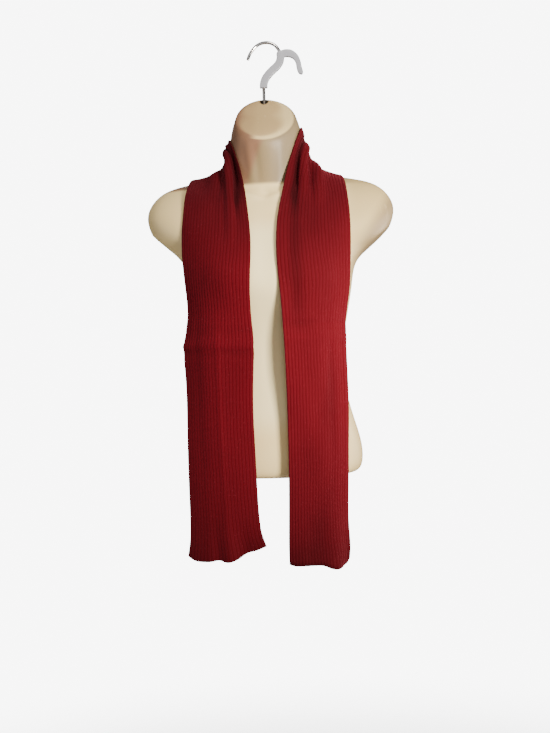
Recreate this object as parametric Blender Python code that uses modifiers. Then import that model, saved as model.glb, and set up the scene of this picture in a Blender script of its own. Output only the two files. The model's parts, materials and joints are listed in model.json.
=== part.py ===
"""A ribbed knit scarf worn open on a hanging torso form.

Sizes are in millimetres and become metres where a mesh is made. +Z is up and the front faces -Y. The origin lies
at the top of the hook's inner curl, where a rail holds it. Right and left are the viewer's, from the front.
"""

from math import cos, hypot, pi, radians, sin
from typing import NamedTuple

import bmesh
import bpy
import numpy as np
from mathutils import Matrix, Vector
from mathutils.bvhtree import BVHTree

MM = 0.001
RIGHT, LEFT = 1, -1

# --- Sizes of the torso form ----------------------------------------------------------------------


class Ring(NamedTuple):
    """One ring of the form's cage, given by its foremost, outermost and rearmost points."""

    name: str
    front_y: float
    front_z: float
    side_x: float
    side_y: float
    side_z: float
    back_y: float
    back_z: float
    square: float  # 1 is an ellipse, and a smaller power is squarer
    shift_x: float = 0.0


FORM_RINGS = (
    Ring("base inset", -74, -709, 112, -2, -709, 64, -709, 0.90),
    Ring("base", -93, -709, 138, -3, -709, 83, -709, 0.90),
    Ring("base top", -98, -694, 147, -4, -692, 90, -694, 0.90),
    Ring("hip", -98, -655, 145, -4, -655, 92, -655, 0.90),
    Ring("belly", -92, -600, 125, -6, -600, 76, -600, 0.90),
    Ring("waist", -84, -530, 114, -10, -530, 56, -530, 0.90),
    Ring("under bust", -94, -465, 123, -8, -465, 66, -465, 0.86),
    Ring("bust", -126, -410, 135, -2, -412, 82, -405, 0.80),
    Ring("flank", -120, -378, 138, 6, -376, 86, -376, 0.80),
    Ring("armpit", -108, -350, 141, 10, -358, 88, -350, 0.84),
    Ring("arm opening", -90, -318, 205, 10, -304, 86, -315, 0.86),
    Ring("shoulder edge", -74, -291, 216, 10, -272, 82, -287, 0.90),
    Ring("shoulder", -62, -272, 186, 9, -229, 74, -260, 0.95),
    Ring("shoulder slope", -53, -257, 130, 8, -222, 66, -241, 1.0),
    Ring("neck root", -45.5, -246, 84, 2, -212, 56, -220, 1.0),
    Ring("neck low", -43.5, -241, 66, -6, -190, 42, -187, 1.0),
    Ring("neck high", -60, -200, 60, -18, -152, 22, -131, 1.0),
    Ring("cap skirt", -68, -182, 53, -29, -138, 14, -97, 1.0),
    Ring("cap rim", -67.5, -172.5, 50, -28, -130, 11, -89, 1.0),
    Ring("cap face", -65, -165.5, 41, -27, -126, 5, -87, 1.0, -7),
)
FIRM_RINGS = {"base": 0.45, "neck root": 0.3, "neck low": 1.0, "cap rim": 0.5, "cap face": 0.95}  # how crisp these rings stay when the cage is smoothed
FORM_COLUMNS = 16
ARM_RINGS = ("armpit", "arm opening")  # the rings that pass below and above each arm's cut
ARM_OPENING_TOP = (203.0, -304.0)  # x and z of the two ends of the arm's oval cut
ARM_OPENING_FOOT = (141.0, -358.0)
ARM_OPENING_Y = 10.0
ARM_OPENING_HALF_DEPTH = 46.0
ARM_OPENING_TURN = radians(28)  # how far round the oval its four side points lie
ARM_OPENING_CREASE = 0.8
SOCKET_HOLE_RADIUS = 6.3

# --- Sizes of the hook ----------------------------------------------------------------------------

WIRE_RADIUS = 2.6
STEM_X = -3.0
STEM_TOP_Z = -74.0  # below this the stem is straight
STEM_FOOT_Z = -122.0
WIRE_STEP = 3.0


class Place(NamedTuple):
    """A place on the middle of the hook's wire, seen from the front."""

    x: float
    z: float


WIRE_PLACES = (
    Place(-28.4, -25.0),
    Place(-24.3, -15.2),
    Place(-19.2, -8.2),
    Place(-13.0, -2.1),
    Place(-5.6, 1.5),
    Place(2.2, 2.6),
    Place(10.6, 1.2),
    Place(18.2, -3.3),
    Place(23.8, -11.4),
    Place(26.3, -21.5),
    Place(25.0, -30.0),
    Place(20.2, -37.4),
    Place(12.8, -43.8),
    Place(5.4, -51.0),
    Place(0.0, -58.4),
    Place(-2.6, -66.0),
    Place(-3.0, -73.0),
    Place(-3.0, -80.0),
)

SOCKET_TOP_Z = -95.0
SOCKET_FOOT_Z = -125.0
SOCKET_RADIUS = 6.0
SEAT_GAP = 0.3

SLEEVE_FRONT_Y = -5.0
SLEEVE_BACK_Y = 2.2
SLEEVE_FOOT_Z = -72.5
SLEEVE_HALF_WIDTH = 6.3
SLEEVE_TOP_HALF_WIDTH = 4.6
SLEEVE_START = 73.5  # along the wire from its tip
SLEEVE_BEVEL = 0.8


class Stroke(NamedTuple):
    """A place on the side hook's middle line and the hook's half width there."""

    x: float
    z: float
    half_width: float


SIDE_HOOK_PLACES = 16
SIDE_HOOK = (
    Stroke(25.5, -20.0, 5.6),
    Stroke(33.0, -17.4, 6.0),
    Stroke(42.0, -18.0, 6.0),
    Stroke(50.5, -23.6, 5.0),
    Stroke(55.2, -32.6, 4.3),
    Stroke(56.8, -42.0, 4.4),
    Stroke(58.4, -47.6, 4.3),
    Stroke(60.2, -51.0, 3.2),
    Stroke(61.1, -52.6, 1.3),
)

# --- Sizes of the scarf ---------------------------------------------------------------------------

RIB_COUNT = 22
RIB_RISE = 1.2
COLUMNS = 2 * RIB_COUNT + 1  # of points across the outside, by turns in a groove and on a rib
INNER_COLUMNS = (*range(0, 32, 2), *range(32, COLUMNS, 4))  # the inside's, closer by the neck where folds are
WALL = 2.0
EDGE_WALL = 1.3  # the cloth thins at its edges
FORM_GAP = 0.8  # from the cloth's inside to the form it rests on
SEAM_GAP = 0.3  # between the pieces that the cloth is built in
RESTING_PASSES = 3
EASING_PASSES = 2
EASING_SHARE = 0.4


class Section(NamedTuple):
    """A crossing of the scarf, from its inner edge by the neck to its outer edge.

    sink is 0 where the cloth goes straight across and 1 where it stands at the neck, then falls and spreads.
    bow arches the middle outward, and rows says how many rows of the mesh follow before the next section.
    """

    in_x: float
    in_y: float
    in_z: float
    out_x: float
    out_y: float
    out_z: float
    sink: float
    bow: float
    rows: int


RIGHT_TAIL = (
    Section(23.5, -108, -838, 116, -86, -836, 0, 8, 1),
    Section(22.5, -109, -822, 120.5, -80, -823, 0, 8, 1),
    Section(23.5, -110, -800, 116, -80, -803, 0, 9, 2),
    Section(25.5, -112, -740, 114.5, -78, -744, 0, 9, 2),
    Section(27, -113, -680, 118, -76, -683, 0, 10, 2),
    Section(27, -114, -625, 119, -73, -628, 0, 10, 2),
    Section(27, -115, -570, 120, -70, -573, 0, 10, 2),
    Section(26, -117, -520, 119, -68, -524, 0, 10, 1),
    Section(25.5, -119, -489, 120, -67, -490, 0, 10, 1),
    Section(23.5, -119, -466, 117, -65, -467, 0, 10, 1),
    Section(23, -121, -441, 123, -66, -441, 0, 10, 2),
    Section(21, -122, -414, 128, -66, -414, 0, 10, 2),
    Section(18, -120, -384, 129, -66, -383, 0, 10, 2),
    Section(16.6, -109, -352, 131, -68, -352, 0, 8, 2),
    Section(16.2, -92, -320, 132, -71, -322, 0, 2, 2),
    Section(19.6, -74, -288, 132, -63, -292, 0, 0, 1),
    Section(22.8, -61, -267, 130, -52, -271, 0.1, 0, 1),
    Section(26.5, -52, -250, 128, -38, -253, 0.3, 0, 2),
)
RIGHT_NECK = (
    Section(31, -47, -226, 126, -23, -238, 0.6, 0, 2),
    Section(40.2, -46, -193, 123, -5, -226, 0.9, 0, 2),
    Section(48, -41, -164, 119, 14, -222, 1, 0, 2),
    Section(53, -24, -146.5, 114, 30, -224, 1, 0, 2),
    Section(53, 2, -142, 103, 47, -230, 1, 0, 2),
    Section(39, 22, -145, 82, 60, -238, 0.9, 0, 2),
    Section(20, 29, -149, 45, 68, -247, 0.8, 0, 2),
)
NAPE = (Section(0, 31, -152, 0, 71, -251, 0.7, 0, 2),)
LEFT_NECK = (
    Section(-20, 29, -153, -46, 68, -248, 0.8, 0, 2),
    Section(-41, 22, -153, -85, 60, -240, 0.9, 0, 2),
    Section(-54, 2, -154.5, -110, 47, -231, 1, 0, 2),
    Section(-53.5, -21, -158.5, -119, 31, -223, 1, 0, 2),
    Section(-50.5, -34.5, -171, -124, 16, -219, 1, 0, 2),
    Section(-46.4, -41, -190, -128, 3, -221, 0.9, 0, 2),
    Section(-40, -42.5, -217, -130, -7, -229, 0.6, 0, 2),
)
LEFT_TAIL = (
    Section(-34.5, -46, -245, -132, -20, -239, 0.3, 0, 1),
    Section(-32, -57, -265, -132, -40, -259, 0.1, 0, 1),
    Section(-27.9, -73, -287, -134, -55, -281, 0, 0, 2),
    Section(-23.7, -91, -320, -134, -67, -311, 0, 2, 2),
    Section(-21.5, -108, -353, -136, -66, -343, 0, 7, 2),
    Section(-23, -119, -385, -134, -64, -375, 0, 9, 2),
    Section(-24, -120, -415, -132, -64, -407, 0, 9, 2),
    Section(-24, -118, -440, -129, -64, -435, 0, 9, 1),
    Section(-24, -115, -462, -127, -64, -457, 0, 9, 1),
    Section(-20.6, -117, -486, -134.5, -66, -481, 0, 9, 1),
    Section(-18.5, -121, -500, -141, -70, -496, 0, 8, 1),
    Section(-21.5, -117, -522, -136, -67, -518, 0, 8, 2),
    Section(-24, -115, -568, -133.3, -69, -566, 0, 8, 2),
    Section(-25, -113, -623, -133.2, -72, -621, 0, 8, 2),
    Section(-23.4, -111, -677, -133, -75, -675, 0, 8, 2),
    Section(-21.8, -110, -738, -132, -78, -738, 0, 8, 2),
    Section(-20, -109, -778, -131.5, -80, -793, 0, 8, 1),
    Section(-18, -110, -794, -132, -82, -812, 0, 8, 1),
    Section(-9.5, -112, -807, -136.5, -86, -828, 0, 8, 0),
)
SECTIONS = RIGHT_TAIL + RIGHT_NECK + NAPE + LEFT_NECK + LEFT_TAIL
CORNER_SHARE = 0.12  # how far across the cloth falls before it spreads over the shoulder, where sink is 1


class Fold(NamedTuple):
    """A lengthwise fold between two sections, counted from the right hem; its rise is below 0 in a valley."""

    name: str
    first: float
    last: float
    start_across: float
    end_across: float
    half_width: float
    rise: float


FOLDS = (
    Fold("right neck valley", 14.5, 24, 0.22, 0.13, 0.10, -8),
    Fold("right neck ridge", 14, 26, 0.34, 0.24, 0.09, 9),
    Fold("right second valley", 16, 22, 0.43, 0.38, 0.08, -4.5),
    Fold("right shoulder swell", 15.5, 22.5, 0.56, 0.52, 0.11, 10),
    Fold("nape crease", 21, 30, 0.38, 0.36, 0.12, -4),
    Fold("left neck valley", 27.5, 35.6, 0.09, 0.185, 0.10, -9),
    Fold("left neck ridge", 22, 37, 0.14, 0.30, 0.09, 11),
    Fold("left collar top", 25.5, 30.8, 0.11, 0.14, 0.08, 5.5),
    Fold("left collar foot", 27, 34, 0.38, 0.42, 0.08, -4),
    Fold("left shoulder swell", 28.5, 35, 0.52, 0.55, 0.15, 3),
    Fold("right chest trough", 8.5, 18.5, 0.18, 0.30, 0.12, -3),
    Fold("left tail bend", 37, 53, 0.60, 0.62, 0.40, 3),
)


class HemPoint(NamedTuple):
    """A place across a hem, with the cloth's drop below a straight hem there and its wave outward."""

    across: float
    drop: float
    wave: float


RIGHT_HEM = (
    HemPoint(0.00, 0, -1),
    HemPoint(0.08, 3, 0),
    HemPoint(0.20, 3.5, 2),
    HemPoint(0.38, 4.5, -2),
    HemPoint(0.56, 6, -1),
    HemPoint(0.70, 11.5, 4),
    HemPoint(0.82, 12, 3),
    HemPoint(0.89, 7, -3),
    HemPoint(0.95, 5, -6),
    HemPoint(1.00, -2, -3),
)
LEFT_HEM = (
    HemPoint(0.00, 0, 8),
    HemPoint(0.12, 5.5, 3),
    HemPoint(0.24, 8, -2),
    HemPoint(0.33, 14, 0),
    HemPoint(0.39, 17, 4),
    HemPoint(0.46, 18.5, 4),
    HemPoint(0.53, 15, -1),
    HemPoint(0.59, 12.5, -3),
    HemPoint(0.66, 13.5, 1),
    HemPoint(0.77, 12, 2),
    HemPoint(0.92, 7, 0),
    HemPoint(1.00, 0, -4),
)
HEM_REACH = 70.0  # how far up from a hem its waves go


# --- Making objects -------------------------------------------------------------------------------


def material(name, colour, roughness, metallic=0.0):
    made = bpy.data.materials.new(name)
    made.use_nodes = True
    shader = made.node_tree.nodes["Principled BSDF"]
    shader.inputs["Base Color"].default_value = (*colour, 1.0)
    shader.inputs["Roughness"].default_value = roughness
    shader.inputs["Metallic"].default_value = metallic
    return made


def add_object(name, data, finish, group):
    made = bpy.data.objects.new(name, data)
    made.data.materials.append(finish)
    group.objects.link(made)
    return made


def mesh_of(name, mesh):
    """The finished mesh data of a bmesh, shaded smooth but for its sharp edges."""
    bmesh.ops.recalc_face_normals(mesh, faces=mesh.faces)
    data = bpy.data.meshes.new(name)
    mesh.to_mesh(data)
    mesh.free()
    data.shade_smooth()
    data.set_sharp_from_angle(angle=radians(40))
    return data


def combine(piece, tool, name, operation="DIFFERENCE"):
    """Takes the tool out of the piece, or adds it, and hides the tool."""
    tool.hide_render = True
    tool.display_type = "WIRE"
    modifier = piece.modifiers.new(name, "BOOLEAN")
    modifier.operation = operation
    modifier.solver = "EXACT"
    modifier.object = tool


def cylinder(name, radius, foot_z, top_z, finish, group, segments=24):
    """A closed upright cylinder round the hook's stem."""
    mesh = bmesh.new()
    bmesh.ops.create_cone(
        mesh,
        cap_ends=True,
        segments=segments,
        radius1=radius * MM,
        radius2=radius * MM,
        depth=(top_z - foot_z) * MM,
        matrix=Matrix.Translation((STEM_X * MM, 0, (top_z + foot_z) / 2 * MM)),
    )
    return add_object(name, mesh_of(name, mesh), finish, group)


def wire_curve(name, points, radius, finish, group):
    """A round wire with filled ends along a line of points."""
    curve = bpy.data.curves.new(name, "CURVE")
    curve.dimensions = "3D"
    curve.bevel_depth = radius * MM
    curve.bevel_resolution = 2
    curve.use_fill_caps = True
    spline = curve.splines.new("POLY")
    spline.points.add(len(points) - 1)
    for slot, place in zip(spline.points, points):
        slot.co = (*(Vector(place) * MM), 1.0)
    return add_object(name, curve, finish, group)


def meshed(curve_object, name, group):
    """A mesh object in place of a curve, with its caps welded on."""
    graph = bpy.context.evaluated_depsgraph_get()
    data = bpy.data.meshes.new_from_object(curve_object.evaluated_get(graph))
    mesh = bmesh.new()
    mesh.from_mesh(data)
    bmesh.ops.remove_doubles(mesh, verts=mesh.verts, dist=1e-5)
    bmesh.ops.recalc_face_normals(mesh, faces=mesh.faces)
    mesh.to_mesh(data)
    mesh.free()
    made = bpy.data.objects.new(name, data)
    made.matrix_world = curve_object.matrix_world
    group.objects.link(made)
    bpy.data.objects.remove(curve_object)
    return made


# --- The torso form -------------------------------------------------------------------------------


def ring_point(ring, turn):
    """The cage point at a turn round the ring, from +X toward the back."""
    across = abs(cos(turn)) ** ring.square
    along = abs(sin(turn)) ** ring.square
    x = ring.shift_x + ring.side_x * across * (1 if cos(turn) >= 0 else -1)
    end_y, end_z = (ring.back_y, ring.back_z) if sin(turn) > 0 else (ring.front_y, ring.front_z)
    y = ring.side_y + (end_y - ring.side_y) * along
    z = ring.side_z + (end_z - ring.side_z) * along
    return [x, y, z]


def arm_opening_point(turn, side):
    """A point of the oval in which an arm is cut off: a quarter turn is its top."""
    top, foot = Vector(ARM_OPENING_TOP), Vector(ARM_OPENING_FOOT)
    place = (top + foot) / 2 + (top - foot) / 2 * sin(turn)
    return [side * place.x, ARM_OPENING_Y + ARM_OPENING_HALF_DEPTH * cos(turn), place.y]


def cage_ring(ring):
    """The cage points of one ring; the two arm rings have three points a side on the oval cut."""
    points = [ring_point(ring, 2 * pi * k / FORM_COLUMNS) for k in range(FORM_COLUMNS)]
    if ring.name in ARM_RINGS:
        lift = 1 if ring.name == ARM_RINGS[1] else -1
        for side, middle in ((RIGHT, 0), (LEFT, FORM_COLUMNS // 2)):
            turn = lift * ARM_OPENING_TURN
            points[middle] = arm_opening_point(lift * pi / 2, side)
            points[(middle + side) % FORM_COLUMNS] = arm_opening_point(turn, side)
            points[(middle - side) % FORM_COLUMNS] = arm_opening_point(pi - turn, side)
    return points


def loft(mesh, rings):
    """Quads between rings of equal length, each ring closed on itself. Returns the rings' vertices."""
    made = [[mesh.verts.new(Vector(point) * MM) for point in ring] for ring in rings]
    for lower, upper in zip(made, made[1:]):
        for k in range(len(lower)):
            after = (k + 1) % len(lower)
            mesh.faces.new((lower[k], lower[after], upper[after], upper[k]))
    return made


def close_ring(mesh, ring):
    """Closes a ring with a fan round its middle."""
    middle = mesh.verts.new(sum((vertex.co for vertex in ring), Vector()) / len(ring))
    for k, vertex in enumerate(ring):
        mesh.faces.new((vertex, ring[(k + 1) % len(ring)], middle))


def crease_line(mesh, layer, line, value):
    """Keeps a closed line of edges crisp when the cage is smoothed."""
    for here, there in zip(line, line[1:] + line[:1]):
        mesh.edges.get((here, there))[layer] = value


def crease_rims(mesh, rings):
    """Creases the rim of each arm's cut and the rings that stay firm, given the rings' vertices by name."""
    layer = mesh.edges.layers.float.new("crease_edge")
    armpit, opening = (rings[name] for name in ARM_RINGS)
    for middle in (0, FORM_COLUMNS // 2):
        near = [(middle + step) % FORM_COLUMNS for step in (-1, 0, 1)]
        rim = [armpit[k] for k in near] + [opening[k] for k in reversed(near)]
        crease_line(mesh, layer, rim, ARM_OPENING_CREASE)
    for name, value in FIRM_RINGS.items():
        crease_line(mesh, layer, rings[name], value)


def add_torso_form(group, cutters):
    mesh = bmesh.new()
    rings = loft(mesh, [cage_ring(ring) for ring in FORM_RINGS])
    close_ring(mesh, rings[0])
    close_ring(mesh, rings[-1])
    crease_rims(mesh, {ring.name: vertices for ring, vertices in zip(FORM_RINGS, rings)})
    bmesh.ops.recalc_face_normals(mesh, faces=mesh.faces)
    data = bpy.data.meshes.new("torso_form")
    mesh.to_mesh(data)
    mesh.free()
    data.shade_smooth()
    finish = material("cream plastic", (0.80, 0.68, 0.50), 0.4)
    form = add_object("torso_form", data, finish, group)
    smooth = form.modifiers.new("Soft form", "SUBSURF")
    smooth.levels = smooth.render_levels = 1
    hole = cylinder("socket_hole", SOCKET_HOLE_RADIUS, SOCKET_FOOT_Z - 1, SOCKET_TOP_Z + 20, finish, cutters)
    combine(form, hole, "Hole for the hook's socket")
    return form


# --- The hook -------------------------------------------------------------------------------------


def wire_path(start, foot_z):
    """Points down the wire, from a length along it to the height of a foot on its straight stem."""
    table = np.array(WIRE_PLACES)
    lengths = np.concatenate([[0], np.cumsum(np.hypot(*np.diff(table, axis=0).T))])
    count = int((lengths[-1] - start) / WIRE_STEP)
    line = smooth_through(lengths, table, np.linspace(start, lengths[-1], count + 1))
    above = line[line[:, 1] > max(foot_z, STEM_TOP_Z) + WIRE_STEP / 2]
    return [(x, 0.0, z) for x, z in above] + [(STEM_X, 0.0, foot_z)]


def outline_of(strokes):
    """The closed outline of a line of (x, z, half width) places, one side and then the other."""
    one_side, other_side = [], []
    for k, stroke in enumerate(strokes):
        before, after = strokes[max(k - 1, 0)], strokes[min(k + 1, len(strokes) - 1)]
        step = hypot(after[0] - before[0], after[1] - before[1])
        across = (-(after[1] - before[1]) / step, (after[0] - before[0]) / step)
        one_side.append((stroke[0] + across[0] * stroke[2], stroke[1] + across[1] * stroke[2]))
        other_side.append((stroke[0] - across[0] * stroke[2], stroke[1] - across[1] * stroke[2]))
    return one_side + other_side[::-1]


def flat_bar(name, strokes, finish, group):
    """A bar of the sleeve's thickness on an outline seen from the front."""
    mesh = bmesh.new()
    rim = [mesh.verts.new(Vector((x, SLEEVE_FRONT_Y, z)) * MM) for x, z in outline_of(strokes)]
    front = mesh.faces.new(rim)
    grown = bmesh.ops.extrude_face_region(mesh, geom=[front])
    moved = [item for item in grown["geom"] if isinstance(item, bmesh.types.BMVert)]
    bmesh.ops.translate(mesh, vec=(0, (SLEEVE_BACK_Y - SLEEVE_FRONT_Y) * MM, 0), verts=moved)
    bar = add_object(name, mesh_of(name, mesh), finish, group)
    softened = bar.modifiers.new("Soft edges", "BEVEL")
    softened.width = SLEEVE_BEVEL * MM
    softened.limit_method = "ANGLE"
    softened.angle_limit = radians(60)
    return bar


def smooth_strokes(strokes, count):
    """More places along the same stroke, on a smooth line through it."""
    table = np.array(strokes, float)
    lengths = np.concatenate([[0], np.cumsum(np.hypot(*np.diff(table[:, :2], axis=0).T))])
    return [tuple(row) for row in smooth_through(lengths, table, np.linspace(0, lengths[-1], count))]


def add_hook(group, cutters):
    chrome = material("chrome", (0.62, 0.62, 0.64), 0.12, 1.0)
    pale = material("pale plastic", (0.78, 0.78, 0.81), 0.35)
    dark = material("dark steel", (0.08, 0.07, 0.06), 0.4, 1.0)

    wire_curve("hook_wire", wire_path(0, STEM_FOOT_Z), WIRE_RADIUS, chrome, group)

    body = [(x, z, SLEEVE_HALF_WIDTH) for x, _, z in wire_path(SLEEVE_START, SLEEVE_FOOT_Z)]
    body[0] = (*body[0][:2], SLEEVE_TOP_HALF_WIDTH)
    sleeve = flat_bar("hook_sleeve", body, pale, group)
    side_hook = flat_bar("side_hook", smooth_strokes(SIDE_HOOK, SIDE_HOOK_PLACES), pale, cutters)
    combine(sleeve, side_hook, "Side hook", "UNION")
    channel_path = wire_path(0, SLEEVE_FOOT_Z - 10)
    channel = wire_curve("channel", channel_path, WIRE_RADIUS + SEAT_GAP, pale, cutters)
    combine(sleeve, meshed(channel, "wire_channel", cutters), "Channel for the wire")

    socket = cylinder("hook_socket", SOCKET_RADIUS, SOCKET_FOOT_Z, SOCKET_TOP_Z, dark, group)
    bore_foot, bore_top = STEM_FOOT_Z - SEAT_GAP, SOCKET_TOP_Z + 5
    bore = cylinder("socket_bore", WIRE_RADIUS + SEAT_GAP, bore_foot, bore_top, dark, cutters, 16)
    combine(socket, bore, "Bore for the stem")


# --- The scarf ------------------------------------------------------------------------------------


def smooth_through(places, values, wanted):
    """A smooth curve through rows of values at increasing places, read at the wanted places."""
    places, values, wanted = (np.asarray(item, float) for item in (places, values, wanted))
    slopes = np.gradient(values, places, axis=0)
    index = np.clip(np.searchsorted(places, wanted, side="right") - 1, 0, len(places) - 2)
    span = places[index + 1] - places[index]
    t = (wanted - places[index]) / span
    t, span = t[:, None], span[:, None]
    return (
        values[index] * (1 + 2 * t) * (1 - t) ** 2
        + slopes[index] * span * t * (1 - t) ** 2
        + values[index + 1] * t**2 * (3 - 2 * t)
        - slopes[index + 1] * span * t**2 * (1 - t)
    )


def section_places(sections):
    """How far along the scarf each section lies."""
    table = np.array([section[:6] for section in sections])
    middles = (table[:, :3] + table[:, 3:6]) / 2
    return np.concatenate([[0], np.cumsum(np.linalg.norm(np.diff(middles, axis=0), axis=1))])


def row_numbers(sections):
    """The rows of the mesh, counted in sections, with each section's own number of rows after it."""
    numbers = []
    for k, section in enumerate(sections[:-1]):
        numbers += [k + step / section.rows for step in range(section.rows)]
    return np.array([*numbers, len(sections) - 1.0])


def unit(vectors):
    return vectors / np.maximum(np.linalg.norm(vectors, axis=-1, keepdims=True), 1e-9)


def spread_evenly(grid):
    """The same rows with their points evenly spaced, because the ribs are."""
    spread = np.empty_like(grid)
    for row, points in enumerate(grid):
        lengths = np.concatenate([[0], np.cumsum(np.linalg.norm(np.diff(points, axis=0), axis=1))])
        wanted = np.linspace(0, lengths[-1], len(points))
        for axis in range(3):
            spread[row, :, axis] = np.interp(wanted, lengths, points[:, axis])
    return spread


def outward_normals(grid):
    """The cloth's outward direction at each point of the grid."""
    along = np.gradient(grid, axis=0)
    across = np.gradient(grid, axis=1)
    return unit(np.cross(across, along))


def eased(grid, share):
    """The grid with each inner point moved part of the way to the middle of its neighbours."""
    moved = grid.copy()
    moved[1:-1] += share / 2 * (grid[:-2] + grid[2:] - 2 * grid[1:-1])
    moved[:, 1:-1] += share / 2 * (grid[:, :-2] + grid[:, 2:] - 2 * grid[:, 1:-1])
    return moved


def shortfall(points, form_tree):
    """How far each point of a grid must move to rest clear of the form."""
    moves = np.zeros_like(points)
    for place in np.ndindex(points.shape[:2]):
        point = Vector(points[place])
        surface, normal, _, _ = form_tree.find_nearest(point)
        if (point - surface).dot(normal) < FORM_GAP:
            moves[place] = surface + normal * FORM_GAP - point
    return moves


def clear_of_form(grid, form_tree):
    """The grid moved out where it is inside the form or too near it, at its points and between them."""
    moved = grid + shortfall(grid, form_tree)
    lengthwise = shortfall((moved[:-1] + moved[1:]) / 2, form_tree)
    moved[:-1] += lengthwise
    moved[1:] += lengthwise
    crosswise = shortfall((moved[:-1, :-1] + moved[1:, 1:]) / 2, form_tree)
    moved[:-1, :-1] += crosswise
    moved[1:, 1:] += crosswise
    return moved


def drop_hems(grid, from_right_hem, from_left_hem):
    """Lowers and waves the cloth's ends, given each row's distance from either hem."""
    across = np.linspace(0, 1, COLUMNS)
    for hem, reach in ((RIGHT_HEM, from_right_hem), (LEFT_HEM, from_left_hem)):
        table = np.array(hem)
        share = np.clip(1 - reach / HEM_REACH, 0, 1)[:, None] ** 2
        drop, wave = smooth_through(table[:, 0], table[:, 1:], across).T
        grid[..., 2] -= share * drop
        grid[..., 1] -= share * wave


def hung_cloth(numbers):
    """The cloth before it rests on the form; each row curves from inner to outer edge by a corner point."""
    places = section_places(SECTIONS)
    wanted = np.interp(numbers, np.arange(len(SECTIONS)), places)
    table = smooth_through(places, np.array([section[:8] for section in SECTIONS]), wanted)
    inner, outer = table[:, None, :3], table[:, None, 3:6]
    sink, bow = table[:, None, 6:7], table[:, None, 7:8]
    path = unit(np.gradient((inner + outer)[:, 0] / 2, axis=0))[:, None]
    outward = unit(np.cross(outer - inner, path))
    straight = (inner + outer) / 2 + outward * bow * 2
    fallen = inner + (outer - inner) * CORNER_SHARE
    fallen[..., 2] = outer[..., 2]
    corner = straight + (fallen - straight) * sink
    w = np.linspace(0, 1, COLUMNS)[None, :, None]
    grid = inner * (1 - w) ** 2 + corner * 2 * w * (1 - w) + outer * w**2
    drop_hems(grid, wanted, places[-1] - wanted)
    return grid


def fold_rises(numbers):
    """How far the folds lift each point of the grid."""
    across = np.linspace(0, 1, COLUMNS)
    rises = np.zeros((len(numbers), COLUMNS))
    for fold in FOLDS:
        t = np.clip((numbers - fold.first) / (fold.last - fold.first), 0, 1)
        middle = fold.start_across + (fold.end_across - fold.start_across) * t
        off = (across[None, :] - middle[:, None]) / fold.half_width
        rises += fold.rise * np.sin(pi * t)[:, None] * np.exp(-2 * off**2)
    return rises


def cloth_grid(numbers, form_tree):
    """The inside of the cloth as rows of points, resting on the form, with its folds."""
    grid = hung_cloth(numbers)
    for _ in range(RESTING_PASSES):
        grid = spread_evenly(clear_of_form(grid, form_tree))
    grid = eased(grid, EASING_SHARE)
    grid = grid + outward_normals(grid) * fold_rises(numbers)[..., None]
    for _ in range(EASING_PASSES):
        grid = eased(spread_evenly(clear_of_form(grid, form_tree)), EASING_SHARE)
    return clear_of_form(grid, form_tree)


def close_wall_end(mesh, outer, inner):
    """Closes a wall's end, between its outer points and its fewer inner ones."""
    for start, end, near, far in zip(INNER_COLUMNS, INNER_COLUMNS[1:], inner, inner[1:]):
        middle = (start + end) // 2
        mesh.faces.new((near, outer[middle], far))
        for k in range(start, end):
            mesh.faces.new((near if k < middle else far, outer[k], outer[k + 1]))


def wall_piece(name, inside, outside, finish, group):
    """A closed wall between the cloth's plain inside and its ribbed outside."""
    mesh = bmesh.new()
    rings = loft(mesh, [[*high, *low[::-1]] for low, high in zip(inside[:, INNER_COLUMNS], outside)])
    for ring in (rings[0], rings[-1]):
        close_wall_end(mesh, ring[:COLUMNS], ring[COLUMNS:][::-1])
    return add_object(name, mesh_of(name, mesh), finish, group)


def tree_of(piece):
    """The piece's surface in millimetres, for finding the nearest point on it."""
    mesh = piece.evaluated_get(bpy.context.evaluated_depsgraph_get()).to_mesh()
    mesh.calc_loop_triangles()
    corners = [tuple(vertex.co / MM) for vertex in mesh.vertices]
    return BVHTree.FromPolygons(corners, [tuple(triangle.vertices) for triangle in mesh.loop_triangles])


def add_scarf(group, form):
    """Builds the one length of cloth in the three pieces that show, which part at the shoulders."""
    wool = material("crimson knit", (0.25, 0.008, 0.014), 0.9)
    numbers = row_numbers(SECTIONS)
    inside = cloth_grid(numbers, tree_of(form))
    thickness = WALL + RIB_RISE * (np.arange(COLUMNS) % 2)
    thickness[[0, -1]] = EDGE_WALL
    outside = inside + outward_normals(inside) * thickness[None, :, None]

    right_seam = list(numbers).index(len(RIGHT_TAIL) + 1)
    left_seam = list(numbers).index(len(SECTIONS) - len(LEFT_TAIL) - 2)
    last_row = len(numbers) - 1
    pieces = (
        ("scarf_tail_right", 0, right_seam),
        ("scarf_neck", right_seam, left_seam),
        ("scarf_tail_left", left_seam, last_row),
    )
    for name, first, last in pieces:
        faces = inside[first : last + 1].copy(), outside[first : last + 1].copy()
        for grid in faces:
            if first > 0:
                grid[0] += unit(grid[1] - grid[0]) * SEAM_GAP / 2
            if last < last_row:
                grid[-1] += unit(grid[-2] - grid[-1]) * SEAM_GAP / 2
        wall_piece(name, *faces, wool, group)


def main():
    for leftover in list(bpy.data.objects):
        bpy.data.objects.remove(leftover)
    parts = bpy.data.collections.new("knit_scarf")
    cutters = bpy.data.collections.new("cutters")
    bpy.context.scene.collection.children.link(parts)
    bpy.context.scene.collection.children.link(cutters)
    form = add_torso_form(parts, cutters)
    add_hook(parts, cutters)
    bpy.context.view_layer.update()
    add_scarf(parts, form)


main()
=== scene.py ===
"""The looks of a ribbed knit scarf worn open on a hanging torso form.

Sizes are in millimetres and become metres where a mesh is made. +Z is up and the front faces -Y. The origin
lies at the top of the hook's inner curl. Right and left are the viewer's, from the front.
"""

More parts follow.
